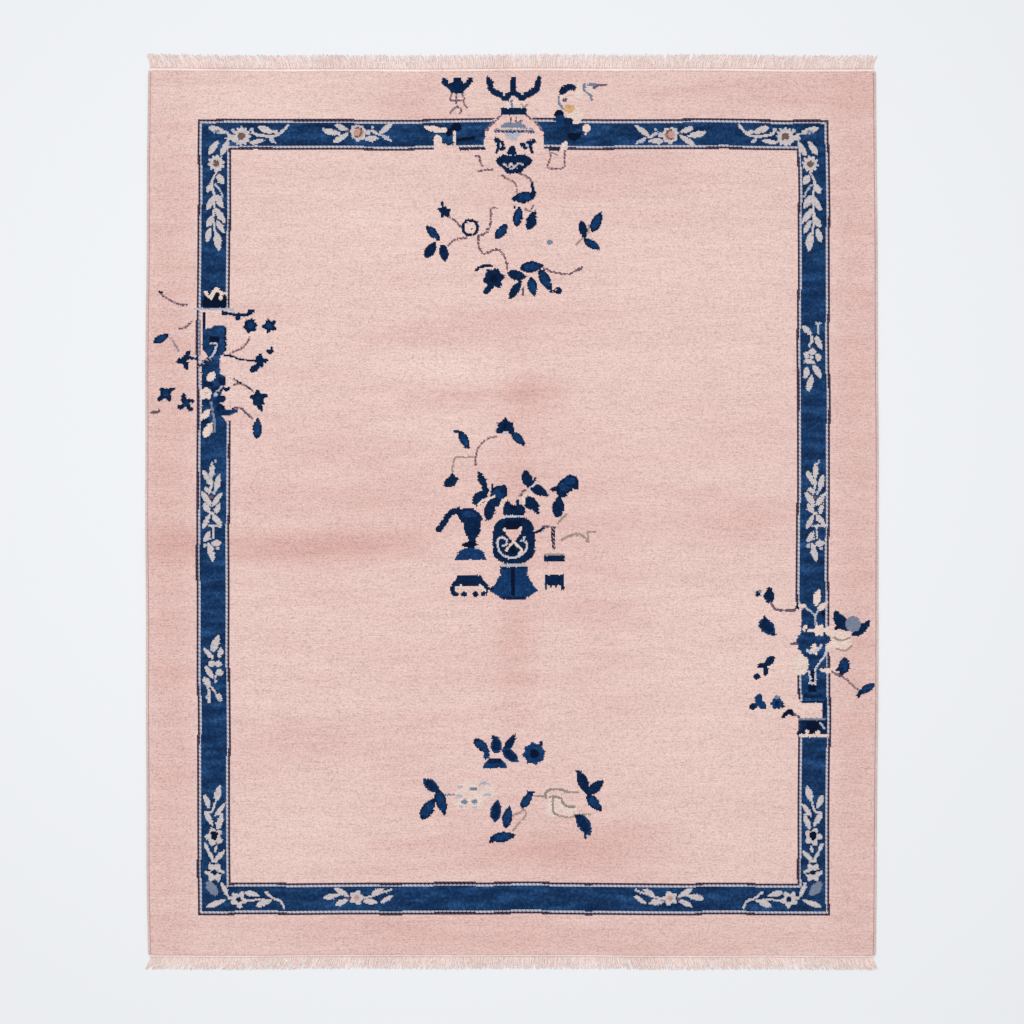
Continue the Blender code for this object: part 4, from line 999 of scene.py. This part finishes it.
def woolGrainAndKnotShadeGroup():
    # brightness and height of cut wool: tufts, fine fibres and rows, and every knot painted lighter at its
    # middle and darker in the gaps between bundles of knots, a painted highlight and painted shade; one sum
    # gives both the brightness and the height
    tree, given, out = newGroup("woolGrainAndKnotShade", {"Scale": 1.0, "Rows": 0.5},
                                {"Shade": "NodeSocketFloat", "Height": "NodeSocketFloat"})
    place = addNode(tree, "ShaderNodeTexCoord").outputs["Object"]
    tufts = noise(tree, place, calculate(tree, "MULTIPLY", given["Scale"], grainPlan["tufts"]), 3.0, 0.65)
    fibres = noise(tree, place, calculate(tree, "MULTIPLY", given["Scale"], grainPlan["fibres"]), 2.0)
    rows = noise(tree, stretch(tree, place, grainPlan["rows"]), 1.0, 2.0)
    lines = noise(tree, stretch(tree, place, grainPlan["lines"]), 1.0, 3.0)
    # each knot is painted lighter at its middle and darker towards the gaps round it: a painted highlight on
    # the knot and painted shade between knots
    knots = {"Vector": stretch(tree, place, grainPlan["knots"]), "Scale": 1.0}
    gaps = addNode(tree, "ShaderNodeTexVoronoi", knots).outputs["Distance"]
    mixed = calculate(tree, "MULTIPLY", tufts, grainPlan["tuftShare"])
    for part, share in ((fibres, "fibreShare"), (calculate(tree, "SUBTRACT", 0.5, gaps), "knotShadeShare"),
                        (calculate(tree, "SUBTRACT", lines, 0.5), "lineShare")):
        mixed = calculate(tree, "ADD", mixed, calculate(tree, "MULTIPLY", part, grainPlan[share]))
    mixed = calculate(tree, "ADD", mixed, grainPlan["lift"])
    mixed = calculate(tree, "ADD", mixed, calculate(tree, "MULTIPLY", rows, given["Rows"]))
    tree.links.new(mixed, out["Shade"])
    tree.links.new(mixed, out["Height"])
    return tree


woolShades = dict(cream=(238, 214, 202), redder=(206, 158, 150),
                  bandLight=(34, 74, 122), bandDark=(12, 38, 74))
pileLook = dict(rows=0.32, streaks=(1.1, 7.5, 1.0), streakScale=1.6, swing=1.1, mottle=(9.0, 34.0, 1.0),
                speckle=110.0, roughness=0.95,
                speckleStops=[(0.34, (0.5, 0.6, 0.66, 1)), (0.5, (1, 1, 1, 1)), (0.66, (2.4, 1.7, 1.45, 1))],
                grainAndKnotShadeStops=[(0.38, (0.62, 0.59, 0.59, 1)), (0.62, (1, 1, 1, 1)), (0.80, (1.2, 1.2, 1.2, 1))])


def pileMaterial(name, strength, distance, sheen):
    # the charted tone, with the ground clouded by the dye and by painted shade along the crease and fold, the
    # band mottled, the dark tones speckled, and the grain with the knots' painted highlight and shade over
    # everything
    made, tree = newMaterial(name)
    knots = useGroup(tree, knotChart)
    grainAndKnotShade = useGroup(tree, woolGrainAndKnotShade, Scale=1.0, Rows=pileLook["rows"])
    place = addNode(tree, "ShaderNodeTexCoord").outputs["Object"]
    streaks = noise(tree, stretch(tree, place, pileLook["streaks"]), pileLook["streakScale"], 6.0, 0.62)
    swing = calculate(tree, "MULTIPLY", calculate(tree, "SUBTRACT", streaks, 0.5), pileLook["swing"])
    # the clouds read back: redder and darker for the dye's unevenness and for the painted shade of the crease
    # and fold, creamier below 0
    shade = addNode(tree, "ShaderNodeAttribute", attribute_name="dyeAndFoldShade").outputs["Fac"]
    total = calculate(tree, "ADD", shade, swing)
    redder = addNode(tree, "ShaderNodeClamp", {0: total}).outputs[0]
    creamier = addNode(tree, "ShaderNodeClamp", {0: calculate(tree, "MULTIPLY", total, -1.0)}).outputs[0]
    clouded = blend(tree, redder, knots["Color"], linear(woolShades["redder"]))
    clouded = blend(tree, creamier, clouded, linear(woolShades["cream"]))
    colour = blend(tree, knots["Ground"], knots["Color"], clouded)
    mottle = noise(tree, stretch(tree, place, pileLook["mottle"]), 1.0, 4.0)
    mottled = ramp(tree, mottle, [(0.3, linear(woolShades["bandDark"])), (0.5, linear(tones["blue"])),
                                  (0.72, linear(woolShades["bandLight"]))])
    colour = blend(tree, knots["Band"], colour, mottled)
    speckle = ramp(tree, noise(tree, place, pileLook["speckle"], 4.0, 0.7), pileLook["speckleStops"])
    colour = blend(tree, knots["Dark"], colour, blend(tree, 1.0, colour, speckle, "MULTIPLY"))
    # the grain, with the knots' painted highlight and shade, multiplies every tone
    colour = blend(tree, 1.0, colour, ramp(tree, grainAndKnotShade["Shade"], pileLook["grainAndKnotShadeStops"]), "MULTIPLY")
    cloth(tree, colour, grainAndKnotShade["Height"], pileLook["roughness"], strength, distance, sheen)
    return made


def takePlace(piece, material, node):
    # a finished piece gets its material, rides the rug's one body and stands for its CAD node
    piece.data.materials.append(material)
    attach(piece, "root")
    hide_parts(node)


knotChart = knotChartGroup()
woolGrainAndKnotShade = woolGrainAndKnotShadeGroup()
woolPile = buildPile()
takePlace(woolPile, pileMaterial("pileWool", 0.6, 0.0016, 0.03), "pile_body")
woolPile.data.materials.append(pileMaterial("knottedBack", 0.35, 0.0006, 0.0))
print("pile:", len(woolPile.data.polygons), "faces")


# Bands, fringes and side cords

ends = {1: dict(name="north", band=0.009, fringe=0.050), -1: dict(name="south", band=0.006, fringe=0.045)}
bandPlan = dict(columns=700, rows=5, height=0.0028, edge=0.72, crown=0.28, ripple=0.00012, ripples=900)


def endHalf(out):
    return abs(float(sideX(1, endY(out, 0.0)))) - rug["cordWidth"] / 2


def buildBand(out):
    # a flat woven strip along the end, its edge following the pile's, crowned by a sine across it and
    # rippled by one along it: two grids of points joined round their edge as one closed skin
    u, v = np.meshgrid(np.linspace(-1, 1, bandPlan["columns"]), np.linspace(0, 1, bandPlan["rows"]))
    x = u * endHalf(out)
    y = endY(out, x) + out * rug["gap"] + out * v * ends[out]["band"]
    crown = bandPlan["edge"] + bandPlan["crown"] * np.sin(math.pi * v)
    z = bandPlan["height"] * crown + bandPlan["ripple"] * np.sin(x * bandPlan["ripples"])
    top, bottom = (np.stack([x, y, height], axis=-1)[::out].reshape(-1, 3)
                   for height in (z, np.zeros_like(x)))
    number = np.arange(len(top)).reshape(x.shape)
    grid, loop = gridFaces(number), edgeLoop(number)
    quads = np.concatenate([grid, grid[:, ::-1] + len(top), wallFaces(loop, loop + len(top))])
    return buildMesh("wovenBand" + ends[out]["name"].title(), np.concatenate([top, bottom]), quads.tolist())


# Lengths are in metres, usual, shortest and longest are shares of the fringe's length, and a bunch is
# strands that sway together; the bunches run out two thirds of the way east
fringePlan = dict(strands=700, sides=6, rings=9, radius=0.0021, height=0.0026, lean=0.022, seed=11,
                  inset=0.004, pitch=0.0005, usual=0.9, uneven=0.045, shortest=0.74, longest=0.985,
                  sway=0.0022, bunch=14, bunches=33, bunchSway=0.0025, bend=0.0012, thin=0.75, thick=1.1,
                  plyShare=0.22, twists=9, taper=0.35, tip=0.5, lift=0.62, start=0.0006)


def buildFringe(out):
    # strands of two twisted plies: a lobed ring turned as it goes along the strand's leaning path
    plan = fringePlan
    half = endHalf(out)
    count, rings, sides = plan["strands"], plan["rings"], plan["sides"]
    dice = np.random.default_rng(plan["seed"] + out)
    root = np.linspace(plan["inset"] - half, half - plan["inset"], count)
    root += dice.normal(0, plan["pitch"], count)
    share = np.clip(dice.normal(plan["usual"], plan["uneven"], count), plan["shortest"], plan["longest"])
    long = ends[out]["fringe"] * share
    sway = dice.normal(0, plan["sway"], count)
    bunchSway = dice.normal(0, plan["bunchSway"], plan["bunches"])
    sway += np.interp(np.arange(count) / plan["bunch"], np.arange(plan["bunches"]), bunchSway)
    outwards = np.abs(root / half)
    lean = plan["lean"] * np.sign(root) * outwards ** 0.7 * (1 - 0.45 * outwards ** 20) + sway
    bend = dice.normal(0, plan["bend"], count)
    radius = plan["radius"] * dice.uniform(plan["thin"], plan["thick"], count)
    turn = dice.uniform(0, math.tau, count)
    t = np.linspace(0, 1, rings)[None, :, None]
    around = (np.arange(sides) * math.tau / sides)[None, None, :]
    root, long, lean, bend, radius, turn = (
        part[:, None, None] for part in (root, long, lean, bend, radius, turn))
    start = endY(out, root) + out * (ends[out]["band"] + 2 * rug["gap"] + plan["start"])
    pathX = root + lean * t ** 1.4 + bend * np.sin(math.pi * t * 1.5)
    pathY = start + out * long * t
    plies = 1 + plan["plyShare"] * np.cos(2 * (around - plan["twists"] * math.pi * t) + turn)
    thick = radius * (1 - plan["taper"] * t ** 6) * plies
    thick = np.where(t == 1, thick * plan["tip"], thick)
    x = pathX + thick * np.cos(around)
    z = np.maximum(plan["height"] * plan["lift"] + thick * np.sin(around) * out, 0.0001)
    y = np.broadcast_to(pathY, x.shape)
    points = np.stack([x, y, z], axis=-1).reshape(-1, 3)
    number = np.arange(count * rings * sides).reshape(count, rings, sides)
    skin = wallFaces(number[:, :-1], number[:, 1:], axis=2).reshape(-1, 4)
    caps = np.concatenate([number[:, 0, :], number[:, -1, ::-1]])
    return buildMesh("fringe" + ends[out]["name"].title(), points, skin.tolist() + caps.tolist())


cordPlan = dict(wraps=420, ringsPerWrap=6, sides=12, height=0.007, ridge=0.0006, slant=0.5, endsAt=1.2,
                endPast=0.0009, endSharp=2000, endSmall=0.05)


def buildCord(side):
    # an oval profile carried along the side, swelling over each turn of its wrapping wool
    count = cordPlan["wraps"] * cordPlan["ringsPerWrap"]
    low, high = (float(endY(out, side * cordPlan["endsAt"])) for out in (-1, 1))
    t = np.linspace(0, 1, count + 1)[:, None]
    around = (np.arange(cordPlan["sides"]) * math.tau / cordPlan["sides"])[None, :]
    pathY = low + (high - low) * t
    wrap = np.abs(np.sin(math.pi * cordPlan["wraps"] * t + cordPlan["slant"] * np.sin(around)))
    toEnd = np.abs(2 * t - 1) * (1 + cordPlan["endPast"])
    endRound = np.sqrt(np.clip(1 - toEnd ** cordPlan["endSharp"], cordPlan["endSmall"], 1))
    halfWide, halfHigh = ((full / 2 - cordPlan["ridge"] + cordPlan["ridge"] * wrap) * endRound
                          for full in (rug["cordWidth"], cordPlan["height"]))
    x = sideX(side, pathY) - side * rug["cordWidth"] / 2 + halfWide * np.cos(around)
    y = np.broadcast_to(pathY, x.shape)
    z = cordPlan["height"] / 2 + halfHigh * np.sin(around)
    points = np.stack([x, y, z], axis=-1).reshape(-1, 3)
    number = np.arange(len(points)).reshape(count + 1, cordPlan["sides"])
    a, b = number[:-1], number[1:]
    skin = np.stack([b, np.roll(b, -1, axis=1), np.roll(a, -1, axis=1), a], axis=-1).reshape(-1, 4)
    caps = [number[0].tolist(), number[-1, ::-1].tolist()]
    return buildMesh("sideCord" + ("East" if side > 0 else "West"), points, skin.tolist() + caps)


# light, dark, the grain's scale, the bump's strength and its distance
yarns = dict(bandCotton=((254, 240, 234), (234, 208, 200), 1.4, 0.5, 0.0008),
             fringeCotton=((250, 232, 226), (226, 198, 192), 1.6, 0.4, 0.0006),
             sideCordWool=((226, 204, 198), (192, 164, 158), 1.2, 0.5, 0.0008))
yarnLook = dict(rows=0.1, drift=6.0, roughness=0.9, sheen=0.1,
                driftStops=[(0.35, (0.93, 0.90, 0.89, 1)), (0.65, (1.03, 1.03, 1.03, 1))])


def yarnMaterial(name, light, dark, scale, strength, distance):
    # plain yarn: light and dark shades by the wool grain and the knots' painted highlight and shade, with a
    # drift of tone along the rug
    made, tree = newMaterial(name)
    grainAndKnotShade = useGroup(tree, woolGrainAndKnotShade, Scale=scale, Rows=yarnLook["rows"])
    place = addNode(tree, "ShaderNodeTexCoord").outputs["Object"]
    drift = ramp(tree, noise(tree, place, yarnLook["drift"], 3.0), yarnLook["driftStops"])
    # dark where the grain sum is low and light where it is high, so the painted knot shade shows in the yarn
    # too
    colour = ramp(tree, grainAndKnotShade["Shade"], [(0.3, linear(dark)), (0.6, linear(light))])
    colour = blend(tree, 1.0, colour, drift, "MULTIPLY")
    cloth(tree, colour, grainAndKnotShade["Height"], yarnLook["roughness"], strength, distance, yarnLook["sheen"])
    return made


yarnMaterials = {name: yarnMaterial(name, *plan) for name, plan in yarns.items()}
onPile = []
for out in (1, -1):
    name = ends[out]["name"]
    band, fringe = buildBand(out), buildFringe(out)
    takePlace(band, yarnMaterials["bandCotton"], "woven_band_" + name)
    takePlace(fringe, yarnMaterials["fringeCotton"], "fringe_" + name)
    onPile += [band, fringe]
for side, name in ((-1, "west"), (1, "east")):
    cord = buildCord(side)
    takePlace(cord, yarnMaterials["sideCordWool"], "side_cord_" + name)
    onPile.append(cord)
print("edges:", sum(len(piece.data.polygons) for piece in onPile), "faces")


# Floor, light and camera

studio = dict(floor=(232, 234, 236), floorSize=9.0, drop=0.0002, floorRoughness=0.9, floorSpecular=0.1,
              worldColour=(0.985, 0.99, 1.0, 1), worldStrength=0.57, lightHeight=8.0, lightSize=5.0,
              lightPower=385.0, lightAt=(-0.4, 0.5), lensLength=90.0, sensor=36.0, farthest=40.0,
              frameHeight=3.407)


def buildFloor():
    half, z = studio["floorSize"] / 2, -studio["drop"]
    points = np.array([(-half, -half, z), (half, -half, z), (half, half, z), (-half, half, z)])
    made = buildMesh("studioFloor", points, [(0, 1, 2, 3)], smooth=False)
    material, tree = newMaterial("palePaper")
    surface = addNode(tree, "ShaderNodeBsdfPrincipled",
                      {"Base Color": linear(studio["floor"]), "Roughness": studio["floorRoughness"],
                       "Specular IOR Level": studio["floorSpecular"]})
    addNode(tree, "ShaderNodeOutputMaterial", {"Surface": surface.outputs[0]})
    made.data.materials.append(material)


def buildLight(scene):
    # one soft square lamp, turned to face the rug's middle, and an even pale sky
    world = bpy.data.worlds.new("studioWorld")
    world.use_nodes = True
    background = world.node_tree.nodes["Background"]
    background.inputs["Color"].default_value = studio["worldColour"]
    background.inputs["Strength"].default_value = studio["worldStrength"]
    scene.world = world
    lamp = bpy.data.lights.new("softBox", "AREA")
    lamp.shape = "SQUARE"
    lamp.size = studio["lightSize"]
    lamp.energy = studio["lightPower"]
    holder = bpy.data.objects.new("softBox", lamp)
    x, y = studio["lightAt"]
    holder.location = (x, y, studio["lightHeight"])
    holder.rotation_euler = (-math.atan2(y, studio["lightHeight"]), -math.atan2(-x, studio["lightHeight"]), 0)
    scene.collection.objects.link(holder)


def buildCamera(scene):
    # straight above the middle, as high as its lens needs to take in frameHeight
    lens = bpy.data.cameras.new("overheadCamera")
    lens.lens = studio["lensLength"]
    lens.sensor_width = studio["sensor"]
    lens.clip_end = studio["farthest"]
    camera = bpy.data.objects.new("overheadCamera", lens)
    camera.location = (0.0, 0.0, studio["frameHeight"] * studio["lensLength"] / studio["sensor"])
    scene.collection.objects.link(camera)
    scene.camera = camera


buildFloor()
buildLight(bpy.context.scene)
buildCamera(bpy.context.scene)
bpy.context.scene.view_settings.view_transform = "Standard"
print("studio ready")
